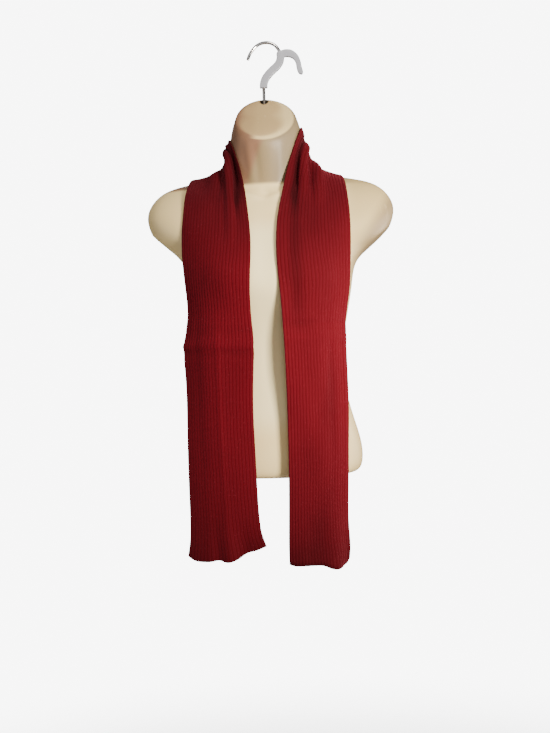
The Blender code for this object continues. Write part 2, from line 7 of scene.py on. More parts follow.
import json
import logging
from dataclasses import dataclass, field
from enum import Enum, IntEnum
from math import cos, pi, radians, sin
from typing import Callable, Iterable, NamedTuple, Sequence, TypeVar

import bmesh
import bpy
import numpy as np
from mathutils import Matrix, Vector
from mathutils.bvhtree import BVHTree

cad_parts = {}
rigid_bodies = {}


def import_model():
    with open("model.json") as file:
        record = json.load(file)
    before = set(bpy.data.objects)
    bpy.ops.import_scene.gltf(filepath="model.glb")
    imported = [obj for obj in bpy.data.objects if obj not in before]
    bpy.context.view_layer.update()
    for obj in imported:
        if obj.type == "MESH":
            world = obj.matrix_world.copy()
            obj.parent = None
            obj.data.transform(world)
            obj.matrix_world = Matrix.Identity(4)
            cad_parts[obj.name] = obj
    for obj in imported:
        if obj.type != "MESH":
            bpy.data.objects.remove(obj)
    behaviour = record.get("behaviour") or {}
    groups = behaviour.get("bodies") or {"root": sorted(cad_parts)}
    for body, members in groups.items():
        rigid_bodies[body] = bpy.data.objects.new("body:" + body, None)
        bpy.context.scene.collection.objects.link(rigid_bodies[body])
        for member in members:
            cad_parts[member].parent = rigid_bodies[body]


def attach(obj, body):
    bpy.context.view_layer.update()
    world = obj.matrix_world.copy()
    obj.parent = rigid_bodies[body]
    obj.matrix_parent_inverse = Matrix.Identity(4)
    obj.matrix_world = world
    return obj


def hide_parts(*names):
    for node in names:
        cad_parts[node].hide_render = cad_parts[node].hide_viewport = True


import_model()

logging.basicConfig(level=logging.INFO, format="%(message)s")
LOG = logging.getLogger("knit_scarf")

MM = 0.001
BODY = "root"
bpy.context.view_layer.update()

Array = np.ndarray
Colour = tuple[float, float, float]
Row = TypeVar("Row")
Material = bpy.types.Material
Node = bpy.types.Node
Tree = bpy.types.NodeTree
Socket = bpy.types.NodeSocket
Piece = bpy.types.Object


class Side(Enum):
    """A side of the form, as the sign of its x."""

    RIGHT = 1
    LEFT = -1


class Slot(Enum):
    """The record's material slots."""

    KNIT = "crimson_knit"
    FORM = "cream_plastic"
    SOCKET = "dark_steel"
    WIRE = "chrome"
    SLEEVE = "pale_plastic"


def rows_of(kind: Callable[..., Row], *rows: Sequence[object]) -> tuple[Row, ...]:
    """A table of one kind of row, whose fields name its columns."""
    return tuple(kind(*row) for row in rows)


class Seed(IntEnum):
    """The seeds of the cloth's unevenness; each crease after the first takes the next one."""

    SOFT_WAVE = 3
    RIB_WAVER = 5
    FINE_WAVER = 6
    RIB_DEPTH = 7
    PATCHES = 11
    CREASE_LINE = 40
    CREASE_RISE = 60


# --- Node trees -----------------------------------------------------------------------------------


class NodeSheet:
    """A node tree with short calls that add nodes to it."""

    def __init__(self, tree: Tree) -> None:
        """Takes the tree that the nodes go into."""
        self.tree = tree

    def add(self, kind: str, **settings: object) -> Node:
        """Adds a node of a Blender type, with its own properties set."""
        node = self.tree.nodes.new(kind)
        for name, value in settings.items():
            setattr(node, name, value)
        return node

    def feed(self, socket: Socket, value: object) -> None:
        """Links a socket to another, or sets it to a number or colour."""
        if isinstance(value, Socket):
            self.tree.links.new(value, socket)
        elif isinstance(value, tuple) and len(value) == 3 and socket.type == "RGBA":
            socket.default_value = (*value, 1.0)
        else:
            socket.default_value = value

    def fit(self, node: Node, **inputs: object) -> None:
        """Feeds a node's inputs by name, with underscores for spaces."""
        for name, value in inputs.items():
            self.feed(node.inputs[name.replace("_", " ")], value)

    def axes(self, place: Socket) -> tuple[Socket, Socket, Socket]:
        """Splits a place into its x, y and z."""
        split = self.add("ShaderNodeSeparateXYZ")
        self.feed(split.inputs[0], place)
        return tuple(split.outputs)

    def maths(self, operation: str, *values: object, clamp: bool = False) -> Socket:
        """Adds a Math node and returns its result."""
        node = self.add("ShaderNodeMath", operation=operation, use_clamp=clamp)
        for socket, value in zip(node.inputs, values):
            self.feed(socket, value)
        return node.outputs[0]

    def mix(self, share: object, low: object, high: object) -> Socket:
        """Adds a colour mix from low, at a share of 0, to high and returns its result."""
        node = self.add("ShaderNodeMix", data_type="RGBA")
        self.feed(node.inputs["Factor"], share)
        self.feed(node.inputs[6], low)
        self.feed(node.inputs[7], high)
        return node.outputs[2]

    def spread(self, value: object, low: float, high: float, to_low: float = 0.0, to_high: float = 1.0) -> Socket:
        """Maps a value from one range to another, smoothly and clamped, and returns the result."""
        node = self.add("ShaderNodeMapRange", interpolation_type="SMOOTHSTEP")
        for socket, number in zip(node.inputs, (value, low, high, to_low, to_high)):
            self.feed(socket, number)
        return node.outputs[0]

    def noise(self, place: Socket, scale: float, detail: float = 2.0, rough: float = 0.5) -> Socket:
        """Adds a noise texture at a place and returns its value."""
        node = self.add("ShaderNodeTexNoise")
        self.fit(node, Vector=place, Scale=scale, Detail=detail, Roughness=rough)
        return node.outputs["Fac"]

    def bump(self, height: Socket, strength: float, distance: float) -> Socket:
        """Adds a bump of a height, with its distance in millimetres, and returns the normal."""
        node = self.add("ShaderNodeBump")
        self.fit(node, Strength=strength, Distance=distance * MM, Height=height)
        return node.outputs["Normal"]

    def group(self, tree: Tree, **inputs: object) -> Node:
        """Places a node group, with its inputs fed by name."""
        node = self.add("ShaderNodeGroup", node_tree=tree)
        self.fit(node, **inputs)
        return node


def new_group(name: str, inputs: Sequence[str], outputs: Sequence[str]) -> tuple[NodeSheet, Node, Node]:
    """Starts a shader node group.

    Args:
        name: the group's name.
        inputs: the names of its inputs, of which Place is a vector and the others numbers.
        outputs: the names of its outputs, all of them numbers.

    Returns:
        The group's sheet, its input node and its output node.
    """
    tree = bpy.data.node_groups.new(name, "ShaderNodeTree")
    for title in inputs:
        kind = "NodeSocketVector" if title == "Place" else "NodeSocketFloat"
        tree.interface.new_socket(title, in_out="INPUT", socket_type=kind)
    for title in outputs:
        tree.interface.new_socket(title, in_out="OUTPUT", socket_type="NodeSocketFloat")
    sheet = NodeSheet(tree)
    return sheet, sheet.add("NodeGroupInput"), sheet.add("NodeGroupOutput")


def mottle_group() -> Tree:
    """A moulded surface: broad cloudiness, fine grain and a few faint rubbed marks."""
    sheet, given, made = new_group("mottle", ("Place", "Scale"), ("Cloud", "Grain", "Rubbed"))
    place = sheet.add("ShaderNodeVectorMath", operation="SCALE")
    sheet.fit(place, Vector=given.outputs["Place"], Scale=given.outputs["Scale"])
    spot = place.outputs[0]
    stretched = sheet.add("ShaderNodeMapping")
    sheet.fit(stretched, Vector=spot, Scale=(1.0, 1.0, 0.25), Rotation=(0.3, 0.5, 0.2))
    marks = sheet.noise(stretched.outputs[0], 60.0, 4.0, 0.7)
    sheet.fit(
        made,
        Cloud=sheet.noise(spot, 14.0, 3.0, 0.55),
        Grain=sheet.noise(spot, 900.0, 2.0, 0.6),
        Rubbed=sheet.spread(marks, 0.62, 0.78),
    )
    return sheet.tree


def knit_group() -> Tree:
    """Rib knitting: a column of stitches down each rib, with the turned loops deep in the grooves.

    Place is the cloth's own map, 1 across and 1 along. Rib is 1 on a rib's crown and 0 in a groove.
    """
    sheet, given, made = new_group("rib_knit", ("Place", "Ribs", "Courses"), ("Height", "Rib", "Stitch"))
    across, along, _ = sheet.axes(given.outputs["Place"])
    across = sheet.maths("MULTIPLY", across, given.outputs["Ribs"])
    along = sheet.maths("MULTIPLY", along, given.outputs["Courses"])
    offset = sheet.maths("SUBTRACT", sheet.maths("FRACT", across), 0.5)
    reach = sheet.maths("MULTIPLY", sheet.maths("ABSOLUTE", offset), 2.0)
    slant = sheet.maths("ADD", along, sheet.maths("MULTIPLY", reach, 0.85))
    loop = sheet.maths("COSINE", sheet.maths("MULTIPLY", slant, 2 * pi))
    loop = sheet.maths("MULTIPLY_ADD", loop, 0.5, 0.5)
    leg = sheet.maths("SINE", sheet.maths("MULTIPLY", reach, pi))
    purl = sheet.maths("COSINE", sheet.maths("MULTIPLY", along, 2 * pi))
    purl = sheet.maths("MULTIPLY_ADD", purl, 0.2, 0.2)
    stitch = sheet.maths("MULTIPLY", loop, sheet.maths("MULTIPLY_ADD", leg, 0.8, 0.2))
    rib = sheet.spread(reach, 0.35, 1.0, 1.0, 0.0)
    height = sheet.maths("ADD", sheet.maths("MULTIPLY", stitch, rib), purl)
    sheet.fit(made, Height=height, Rib=rib, Stitch=stitch)
    return sheet.tree


# --- Finishes -------------------------------------------------------------------------------------


def new_material(name: str) -> tuple[Material, NodeSheet, Node]:
    """Starts a material and returns it with its sheet and its shader."""
    made = bpy.data.materials.new(name)
    made.use_nodes = True
    return made, NodeSheet(made.node_tree), made.node_tree.nodes["Principled BSDF"]


def mottled(sheet: NodeSheet, mottle: Tree, scale: float) -> tuple[Socket, Socket, Socket, Socket]:
    """Places the mottle on a material: the object's place and the mottle's cloud, grain and rubbed marks."""
    place = sheet.add("ShaderNodeTexCoord").outputs["Object"]
    return place, *sheet.group(mottle, Place=place, Scale=scale).outputs


@dataclass(frozen=True)
class KnitFinish:
    """Soft ribbed wool with a pale nap: a painted highlight on the crowns of the ribs, painted shade in the
    grooves, and painted shade from the cloth's shade attribute.
    """

    name: str = "crimson knit"
    # painted highlight: the rib crowns' colour is lighter than the flanks'
    crown: Colour = (0.128, 0.0040, 0.0098)
    flank: Colour = (0.112, 0.0022, 0.0064)
    # painted shade: the grooves' colour is darker than the flanks'
    groove: Colour = (0.098, 0.0010, 0.0035)
    fleck: Colour = (0.200, 0.021, 0.034)
    # the colour that painted shade darkens toward
    deepest: Colour = (0.020, 0.0005, 0.0012)
    nap: Colour = (1.0, 0.14, 0.20)
    ribs: float = 22
    courses: float = 860
    relief: float = 0.45  # millimetres
    cloud_scale: float = 22.0
    fuzz_scale: float = 750.0
    fleck_scale: float = 420.0
    fleck_share: float = 0.55
    glint: float = 0.06
    nap_share: float = 0.17
    nap_roughness: float = 0.45

    def material(self, knit: Tree) -> Material:
        """The knit's material, given the knitting's node group."""
        made, sheet, shader = new_material(self.name)
        cloth = sheet.add("ShaderNodeTexCoord")
        spot = cloth.outputs["Object"]
        pattern = sheet.group(knit, Place=cloth.outputs["UV"], Ribs=self.ribs, Courses=self.courses)
        cloud = sheet.noise(spot, self.cloud_scale, 3.0, 0.55)
        fuzz = sheet.noise(spot, self.fuzz_scale, 3.0, 0.65)
        # painted highlight on the rib crowns, mixed from the flank colour toward the crown colour
        crowned = sheet.maths("MULTIPLY_ADD", fuzz, 0.9, sheet.maths("SUBTRACT", pattern.outputs["Rib"], 0.5))
        crowned = sheet.maths("ADD", crowned, sheet.maths("MULTIPLY_ADD", cloud, 0.7, -0.35), clamp=True)
        colour = sheet.mix(crowned, self.flank, self.crown)
        # painted shade in the grooves
        deep = sheet.spread(pattern.outputs["Rib"], 0.0, 0.55, 1.0, 0.0)
        colour = sheet.mix(deep, colour, self.groove)
        tips = sheet.noise(spot, self.fleck_scale, 1.0, 0.5)
        colour = sheet.mix(sheet.spread(tips, 0.66, 0.80, 0.0, self.fleck_share), colour, self.fleck)
        # painted shade: the shade attribute mixes the colour toward the deepest red
        shade = sheet.add("ShaderNodeAttribute", attribute_name="shade").outputs["Fac"]
        colour = sheet.mix(shade, colour, self.deepest)
        sheet.fit(shader, Base_Color=colour, Roughness=sheet.spread(fuzz, 0.2, 0.8, 0.62, 0.88))
        sheet.fit(shader, Specular_IOR_Level=self.glint, Sheen_Weight=self.nap_share)
        sheet.fit(shader, Sheen_Roughness=self.nap_roughness, Sheen_Tint=self.nap)
        height = sheet.maths("MULTIPLY_ADD", fuzz, 0.5, pattern.outputs["Height"])
        sheet.fit(shader, Normal=sheet.bump(height, 0.8, self.relief))
        return made


@dataclass(frozen=True)
class MouldedFinish:
    """Moulded plastic with a clouded colour, fine grain and a few rubbed marks."""

    name: str
    colour: Colour
    clouded: Colour
    rubbed: Colour
    gloss: float  # the lowest roughness
    dull: float  # the highest
    grain: float  # millimetres

    def aged_and_painted_colour(self, sheet: NodeSheet, place: Socket, colour: Socket) -> Socket:
        """The colour with any yellowing by age and any painted light or shade; here there is none."""
        return colour

    def material(self, mottle: Tree) -> Material:
        """The plastic's material, given the mottle's node group."""
        made, sheet, shader = new_material(self.name)
        place, cloud, grain, marks = mottled(sheet, mottle, 1.0)
        cloud = sheet.spread(cloud, 0.3, 0.7)
        colour = self.aged_and_painted_colour(sheet, place, sheet.mix(cloud, self.colour, self.clouded))
        marks = sheet.maths("MULTIPLY", marks, 0.4)
        rough = sheet.maths("MULTIPLY_ADD", marks, 0.2, sheet.spread(cloud, 0.0, 1.0, self.gloss, self.dull))
        sheet.fit(shader, Base_Color=sheet.mix(marks, colour, self.rubbed), Roughness=rough)
        sheet.fit(shader, Normal=sheet.bump(grain, 0.5, self.grain))
        return made


class Ramp(NamedTuple):
    """A share that rises from 0 at start to 1 at end, which are values of a sum of x, y, z and reach, in metres.

    The first four say how much of each the sum takes. Reach is the distance from the axis of the hook's stem.
    """

    x: float
    y: float
    z: float
    reach: float
    start: float
    end: float


class Tint(NamedTuple):
    """A colour laid over the form, by age or as painted light or shade, its full share and the ramps that bound
    it.
    """

    name: str
    colour: Colour
    share: float
    ramps: tuple[Ramp, ...]


# the neck's brown: partly yellowing by age, partly painted shade on the recessed neck
NECK_BROWN_AND_SHADE = Tint("aged", (0.240, 0.170, 0.088), 0.93, rows_of(Ramp, (0, 0, 1, 0, -0.242, -0.235)))
# painted shade on the neck's sides, laid over its brown: on the left reddened like light bounced off the scarf,
# and on the right
NECK_SIDE_SHADES = rows_of(
    Tint,
    ("handled", (0.208, 0.091, 0.054), 1.0, rows_of(Ramp, (1, 0, -0.45, 0, 0.0827, 0.0677))),
    ("shaded", (0.180, 0.132, 0.074), 1.0, rows_of(Ramp, (1, 0, 0, 0, 0.002, 0.030))),
)
# painted shade on the lower, outer part of the right shoulder's stub
UNDER_SHADE_RAMPS = rows_of(Ramp, (1, 0, -0.6, 0, 0.338, 0.366), (0, 0, 1, 0, -0.43, -0.335))
# painted light: the middle of the front, between the tails, paler
FRONT_LIGHT_RAMPS = rows_of(
    Ramp,
    (1, 0, 0, 0, -0.06, -0.03), (1, 0, 0, 0, 0.06, 0.03), (0, 0, 1, 0, -0.29, -0.33), (0, 0, 1, 0, -0.65, -0.60),
)
# the cap's plate is its own colour; the other tints are painted shade and painted light
TINTS = rows_of(
    Tint,
    ("cap's plate", (0.445, 0.302, 0.136), 0.9, rows_of(Ramp, (0, -1.121, 1, 0, -0.0961, -0.0941))),
    # painted shade darkening the form's right side
    ("right side", (0.52, 0.385, 0.17), 0.85, rows_of(Ramp, (1, 0, 0, 0, 0.10, 0.145))),
    ("under the right shoulder", (0.27, 0.192, 0.10), 0.9, UNDER_SHADE_RAMPS),
    ("faded front", (0.95, 0.79, 0.43), 1.0, FRONT_LIGHT_RAMPS),
    # painted shade darkening the socket's hole round the hook's stem
    ("grime", (0.045, 0.026, 0.016), 0.9, rows_of(Ramp, (0, 0, 0, 1, 0.0084, 0.0064), (0, 0, 1, 0, -0.14, -0.13))),
)


@dataclass(frozen=True)
class FormFinish(MouldedFinish):
    """The form's plastic: its neck browned by age and with painted shade, but for a painted highlight on the rim
    of the cap, and uneven below with painted light and shade.
    """

    stem_x: float = -0.003
    rim_share: float = 0.30  # how far the cap's rim is browned; the rest of its colour is a painted highlight
    rim: Ramp = Ramp(0, -1.121, 1, 0, -0.0978, -0.1005)  # below it the neck is browned in full, and above it lies the rim's painted highlight
    rim_highlight_end: Ramp = Ramp(1, 0, 0, 0, -0.003, -0.027)  # left of here the rim's painted highlight gives way and the rim is browned like the neck

    def share(self, sheet: NodeSheet, axes: Sequence[Socket], ramps: Iterable[Ramp], share: float) -> Socket:
        """The product of a full share and some ramps, given the sockets of x, y, z and reach."""
        for ramp in ramps:
            total = 0.0
            for axis, slope in zip(axes, ramp):
                if slope:
                    total = sheet.maths("MULTIPLY_ADD", axis, slope, total)
            share = sheet.maths("MULTIPLY", sheet.spread(total, ramp.start, ramp.end), share)
        return share

    def tinted(self, sheet: NodeSheet, axes: Sequence[Socket], tints: Iterable[Tint], colour: object) -> Socket:
        """A colour with some tints laid over it in turn."""
        for tint in tints:
            colour = sheet.mix(self.share(sheet, axes, tint.ramps, tint.share), colour, tint.colour)
        return colour

    def aged_and_painted_colour(self, sheet: NodeSheet, place: Socket, colour: Socket) -> Socket:
        """The colour with its neck browned by age and painted shade, a painted highlight on the cap's rim, and its
        tints.
        """
        x, y, z = sheet.axes(place)
        off = sheet.maths("SUBTRACT", x, self.stem_x)
        squares = sheet.maths("MULTIPLY_ADD", y, y, sheet.maths("MULTIPLY", off, off))
        axes = (x, y, z, sheet.maths("SQRT", squares))
        # painted highlight along the cap's rim: the rim takes less of the neck's brown
        rim = self.share(sheet, axes, (self.rim,), 1.0 - self.rim_share)
        rim = sheet.maths("ADD", rim, self.rim_share)
        rim = sheet.maths("MAXIMUM", rim, self.share(sheet, axes, (self.rim_highlight_end,), 1.0))
        # the neck's brown and painted shade, kept off the cap's rim where a painted highlight lies
        browned = sheet.maths("MULTIPLY", rim, self.share(sheet, axes, NECK_BROWN_AND_SHADE.ramps, NECK_BROWN_AND_SHADE.share))
        colour = sheet.mix(browned, colour, self.tinted(sheet, axes, NECK_SIDE_SHADES, NECK_BROWN_AND_SHADE.colour))
        return self.tinted(sheet, axes, TINTS, colour)


@dataclass(frozen=True)
class MetalFinish:
    """Bare or plated metal, clouded where it is worn."""

    name: str
    colour: Colour
    worn: Colour
    gloss: float
    dull: float

    def material(self, mottle: Tree) -> Material:
        """The metal's material, given the mottle's node group."""
        made, sheet, shader = new_material(self.name)
        _, cloud, _, _ = mottled(sheet, mottle, 4.0)
        rough = sheet.spread(cloud, 0.3, 0.8, self.gloss, self.dull)
        colour = sheet.mix(sheet.spread(cloud, 0.35, 0.75), self.colour, self.worn)
        sheet.fit(shader, Base_Color=colour, Roughness=rough, Metallic=1.0)
        return made


CREAM = FormFinish("cream plastic", (0.88, 0.68, 0.33), (0.85, 0.640, 0.300), (0.90, 0.74, 0.44), 0.46, 0.58, 0.04)
PALE = MouldedFinish(
    "pale plastic", (0.34, 0.345, 0.39), (0.31, 0.315, 0.355), (0.42, 0.425, 0.45), 0.26, 0.36, 0.03
)
CHROME = MetalFinish("chrome", (0.66, 0.64, 0.62), (0.34, 0.29, 0.25), 0.06, 0.16)
DARK_STEEL = MetalFinish("dark steel", (0.10, 0.085, 0.07), (0.05, 0.04, 0.035), 0.28, 0.5)


@dataclass(frozen=True)
class FloorFinish:
    """A pale matt floor that fades out at its rim."""

    name: str = "pale floor"
    colour: Colour = (0.90, 0.90, 0.895)
    speck: Colour = (0.86, 0.86, 0.855)
    full_radius: float = 1.2  # metres
    rim_radius: float = 2.9

    def material(self, mottle: Tree) -> Material:
        """The floor's material, given the mottle's node group."""
        made, sheet, shader = new_material(self.name)
        place, cloud, _, _ = mottled(sheet, mottle, 0.3)
        x, y, _ = sheet.axes(place)
        squares = sheet.maths("MULTIPLY_ADD", x, x, sheet.maths("MULTIPLY", y, y))
        fade = sheet.spread(sheet.maths("SQRT", squares), self.full_radius, self.rim_radius, 1.0, 0.0)
        colour = sheet.mix(cloud, self.colour, self.speck)
        sheet.fit(shader, Base_Color=colour, Roughness=0.9, Alpha=fade)
        return made


# --- Modelling steps ------------------------------------------------------------------------------


def set_mode(mode: str) -> None:
    """Puts the active object in a mode."""
    bpy.ops.object.mode_set(mode=mode)


def deselect_all() -> None:
    """Leaves edit mode and deselects every object."""
    if bpy.context.object and bpy.context.object.mode != "OBJECT":
        set_mode("OBJECT")
    for item in bpy.context.view_layer.objects:
        item.select_set(False)


def add_object(kind: Callable[..., object], name: str = "", **settings: object) -> Piece:
    """Adds an object with one of Blender's add operators and names it."""
    deselect_all()
    kind(**settings)
    piece = bpy.context.object
    if name:
        piece.name = piece.data.name = name
    return piece


def work_on(piece: Piece) -> None:
    """Makes a piece the one that operators act on."""
    deselect_all()
    piece.select_set(True)
    bpy.context.view_layer.objects.active = piece


def finish_modifier(piece: Piece, kind: str, name: str, **settings: object) -> None:
    """Adds a modifier of a Blender type to a piece, with its settings, and applies it."""
    work_on(piece)
    modifier = piece.modifiers.new(name, kind)
    for title, value in settings.items():
        setattr(modifier, title, value)
    bpy.ops.object.modifier_apply(modifier=name)


def dress(piece: Piece, finish: Material, slot: Slot, *nodes: str) -> Piece:
    """Gives a piece its material and body, and hides the CAD nodes that it stands for."""
    piece.data.materials.clear()
    piece.data.materials.append(finish)
    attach(piece, BODY)
    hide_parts(*nodes)
    triangles = sum(len(face.vertices) - 2 for face in piece.data.polygons)
    LOG.info("%s: %d triangles, for %s", piece.name, triangles, ", ".join(nodes))
    return piece


def extruded_rings(name: str, rings: Array) -> Piece:
    """Extrudes a circle ring by ring, sets each new ring's points in place, and fills both ends with fans.

    Args:
        name: the piece's name.
        rings: the points of each ring, in millimetres.

    Returns:
        The piece, in edit mode, with each point's ring and column in the layers ring and column.
    """
    piece = add_object(bpy.ops.mesh.primitive_circle_add, name, vertices=len(rings[0]), fill_type="NOTHING")
    set_mode("EDIT")
    bpy.ops.mesh.select_mode(type="VERT")
    mesh = bmesh.from_edit_mesh(piece.data)
    column_layer = mesh.verts.layers.int.new("column")
    ring_layer = mesh.verts.layers.int.new("ring")
    mesh.verts.ensure_lookup_table()
    for number, vertex in enumerate(mesh.verts):
        vertex[column_layer] = number
    for number, ring in enumerate(rings):
        if number:
            bpy.ops.mesh.extrude_region_move()
            mesh = bmesh.from_edit_mesh(piece.data)
            column_layer = mesh.verts.layers.int["column"]
            ring_layer = mesh.verts.layers.int["ring"]
        for vertex in mesh.verts:
            if vertex.select:
                vertex[ring_layer] = number
                vertex.co = Vector(ring[vertex[column_layer]]) * MM
        bmesh.update_edit_mesh(piece.data)
    for number in (0, len(rings) - 1):
        select_ring(piece, number)
        bpy.ops.mesh.edge_face_add()
        bpy.ops.mesh.poke()
    bpy.ops.mesh.select_all(action="SELECT")
    bpy.ops.mesh.normals_make_consistent(inside=False)
    return piece


def select_ring(piece: Piece, number: int) -> None:
    """Selects one ring's points, and the edges between them, in edit mode."""
    bpy.ops.mesh.select_all(action="DESELECT")
    mesh = bmesh.from_edit_mesh(piece.data)
    layer = mesh.verts.layers.int["ring"]
    for vertex in mesh.verts:
        vertex.select = vertex[layer] == number
    mesh.select_flush_mode()
    bmesh.update_edit_mesh(piece.data)


def cut_away(piece: Piece, tool: Piece, operation: str = "DIFFERENCE") -> None:
    """Takes a tool out of a piece, or joins it on, and removes the tool."""
    finish_modifier(piece, "BOOLEAN", "Cut", operation=operation, solver="EXACT", object=tool)
    bpy.data.objects.remove(tool)


def smooth_shading(piece: Piece, sharp_degrees: float = 180.0) -> None:
    """Shades a piece smooth but for edges sharper than an angle."""
    work_on(piece)
    if sharp_degrees >= 180.0:
        bpy.ops.object.shade_smooth()
    else:
        bpy.ops.object.shade_smooth_by_angle(angle=radians(sharp_degrees))


# --- Curves and grids -----------------------------------------------------------------------------


def run_lengths(points: Array) -> Array:
    """How far along a line of points each one lies."""
    return np.concatenate([[0], np.cumsum(np.linalg.norm(np.diff(points, axis=0), axis=1))])


def read_at(table: Sequence[NamedTuple], wanted: Array) -> Array:
    """Reads a table of two columns at places in its first."""
    return np.interp(wanted, *np.array(table).T)


def smooth_through(places: Sequence[float], values: Array, wanted: Array) -> Array:
    """A smooth curve through rows of values.

    Args:
        places: where the rows stand, increasing.
        values: the rows.
        wanted: the places at which the curve is read.

    Returns:
        A row of values for each wanted place.
    """
    places, values, wanted = (np.asarray(item, float) for item in (places, values, wanted))
    slopes = np.gradient(values, places, axis=0)
    index = np.clip(np.searchsorted(places, wanted, side="right") - 1, 0, len(places) - 2)
    span = places[index + 1] - places[index]
    t = (wanted - places[index]) / span
    t, span = t[:, None], span[:, None]
    return (
        values[index] * (1 + 2 * t) * (1 - t) ** 2
        + slopes[index] * span * t * (1 - t) ** 2
        + values[index + 1] * t**2 * (3 - 2 * t)
        - slopes[index + 1] * span * t**2 * (1 - t)
    )


def unit(vectors: Array) -> Array:
    """The vectors at length 1."""
    return vectors / np.maximum(np.linalg.norm(vectors, axis=-1, keepdims=True), 1e-9)


def spread_evenly(grid: Array) -> Array:
    """The same rows with their points evenly spaced, because the ribs are."""
    spread = np.empty_like(grid)
    for row, points in enumerate(grid):
        lengths = run_lengths(points)
        wanted = np.linspace(0, lengths[-1], len(points))
        for axis in range(3):
            spread[row, :, axis] = np.interp(wanted, lengths, points[:, axis])
    return spread


def outward_normals(grid: Array) -> Array:
    """The cloth's outward direction at each point of the grid."""
    along = np.gradient(grid, axis=0)
    across = np.gradient(grid, axis=1)
    return unit(np.cross(across, along))


def eased(grid: Array, share: float) -> Array:
    """The grid with each inner point moved part of the way to the middle of its neighbours."""
    moved = grid.copy()
    moved[1:-1] += share / 2 * (grid[:-2] + grid[2:] - 2 * grid[1:-1])
    moved[:, 1:-1] += share / 2 * (grid[:, :-2] + grid[:, 2:] - 2 * grid[:, 1:-1])
    return moved


def refined(grid: Array, rows: Array, fine_rows: Array, fine_columns: int) -> Array:
    """A finer grid on the same smooth surface.

    Args:
        grid: the coarse grid of points.
        rows: the coarse rows' places.
        fine_rows: the fine rows' places.
        fine_columns: how many points each fine row has.

    Returns:
        The fine grid.
    """
    columns = grid.shape[1]
    tall = smooth_through(rows, grid.reshape(len(rows), -1), fine_rows).reshape(-1, columns, 3)
    turned = tall.transpose(1, 0, 2).reshape(columns, -1)
    wide = smooth_through(np.linspace(0, 1, columns), turned, np.linspace(0, 1, fine_columns))
    return wide.reshape(fine_columns, -1, 3).transpose(1, 0, 2)


def uneven(seed: int, across: Array, along: Array, cells: tuple[int, int]) -> Array:
    """Smooth unevenness from -1 to 1 over a grid.

    Args:
        seed: the draw's seed.
        across: each column's place, from 0 to 1.
        along: each row's place, from 0 to 1.
        cells: how many uneven patches lie across and along the cloth.

    Returns:
        A value for each point of the grid.
    """
    draw = np.random.default_rng(seed).uniform(-1, 1, (cells[1] + 1, cells[0] + 1))
    rows = smooth_through(np.linspace(0, 1, cells[1] + 1), draw, along)
    return smooth_through(np.linspace(0, 1, cells[0] + 1), rows.T, across).T


# --- The torso form -------------------------------------------------------------------------------


class Ring(NamedTuple):
    """One ring of the form's cage, given by its foremost, outermost and rearmost points."""

    name: str
    front_y: float
    front_z: float
    side_x: float
    side_y: float
    side_z: float
    back_y: float
    back_z: float
    square: float  # 1 is an ellipse, and a smaller power is squarer
    shift_x: float = 0.0


FORM_RINGS = rows_of(
    Ring,
    ("base inset", -74, -709, 112, -2, -709, 64, -709, 0.90),
    ("base", -93, -709, 138, -3, -709, 83, -709, 0.90),
    ("base top", -98, -694, 147, -4, -692, 90, -694, 0.90),
    ("hip", -98, -655, 145, -4, -655, 92, -655, 0.90),
    ("belly", -92, -600, 125, -6, -600, 76, -600, 0.90),
    ("waist", -84, -530, 114, -10, -530, 56, -530, 0.90),
    ("under bust", -94, -465, 123, -8, -465, 66, -465, 0.86),
    ("bust", -126, -410, 135, -2, -412, 82, -405, 0.80),
    ("flank", -120, -378, 138, 6, -376, 86, -376, 0.80),
    ("armpit", -108, -350, 141, 10, -358, 88, -350, 0.84),
    ("arm opening", -90, -318, 205, 10, -304, 86, -315, 0.86),
    ("shoulder edge", -74, -291, 216, 10, -272, 82, -287, 0.90),
    ("shoulder", -62, -272, 186, 9, -229, 74, -260, 0.95),
    ("shoulder slope", -53, -257, 130, 8, -222, 66, -241, 1.0),
    ("neck root", -45.5, -246, 84, 2, -212, 56, -220, 1.0),
    ("neck low", -43.5, -241, 66, -6, -190, 42, -187, 1.0),
    ("neck high", -60, -200, 60, -18, -152, 22, -131, 1.0),
    ("cap skirt", -68, -182, 53, -29, -138, 14, -97, 1.0),
    ("cap rim", -67.5, -172.5, 50, -28, -130, 11, -89, 1.0),
    ("cap face", -65, -165.5, 41, -27, -126, 5, -87, 1.0, -7),
)
# How firmly some rings keep their edges when the cage is smoothed.
FIRM_RINGS = {"base": 0.45, "neck root": 0.3, "neck low": 1.0, "cap rim": 0.5, "cap face": 0.95}


class Swell(NamedTuple):
    """A soft ridge on the form's front, from one x and z to another; its rise is below 0 in a hollow."""

    name: str
    x: float
    z: float
    end_x: float
    end_z: float
    half_width: float
    rise: float


SWELLS = rows_of(
    Swell,
    ("right collarbone", 9, -262, 78, -246, 6, 2.6),
    ("left collarbone", -11, -262, -78, -246, 6, 2.6),
    ("throat hollow", -1, -252, -1, -264, 8, -3.0),
    ("breastbone", 0, -300, 0, -400, 13, -2.2),
    ("midriff line", 0, -440, 0, -560, 10, -1.0),
    ("left neck tendon", -27, -180, -22, -234, 6, 1.6),
    ("windpipe side", -14, -182, -11, -234, 4.5, -0.8),
    ("right neck tendon", 27, -180, 21, -234, 6, 0.8),
)


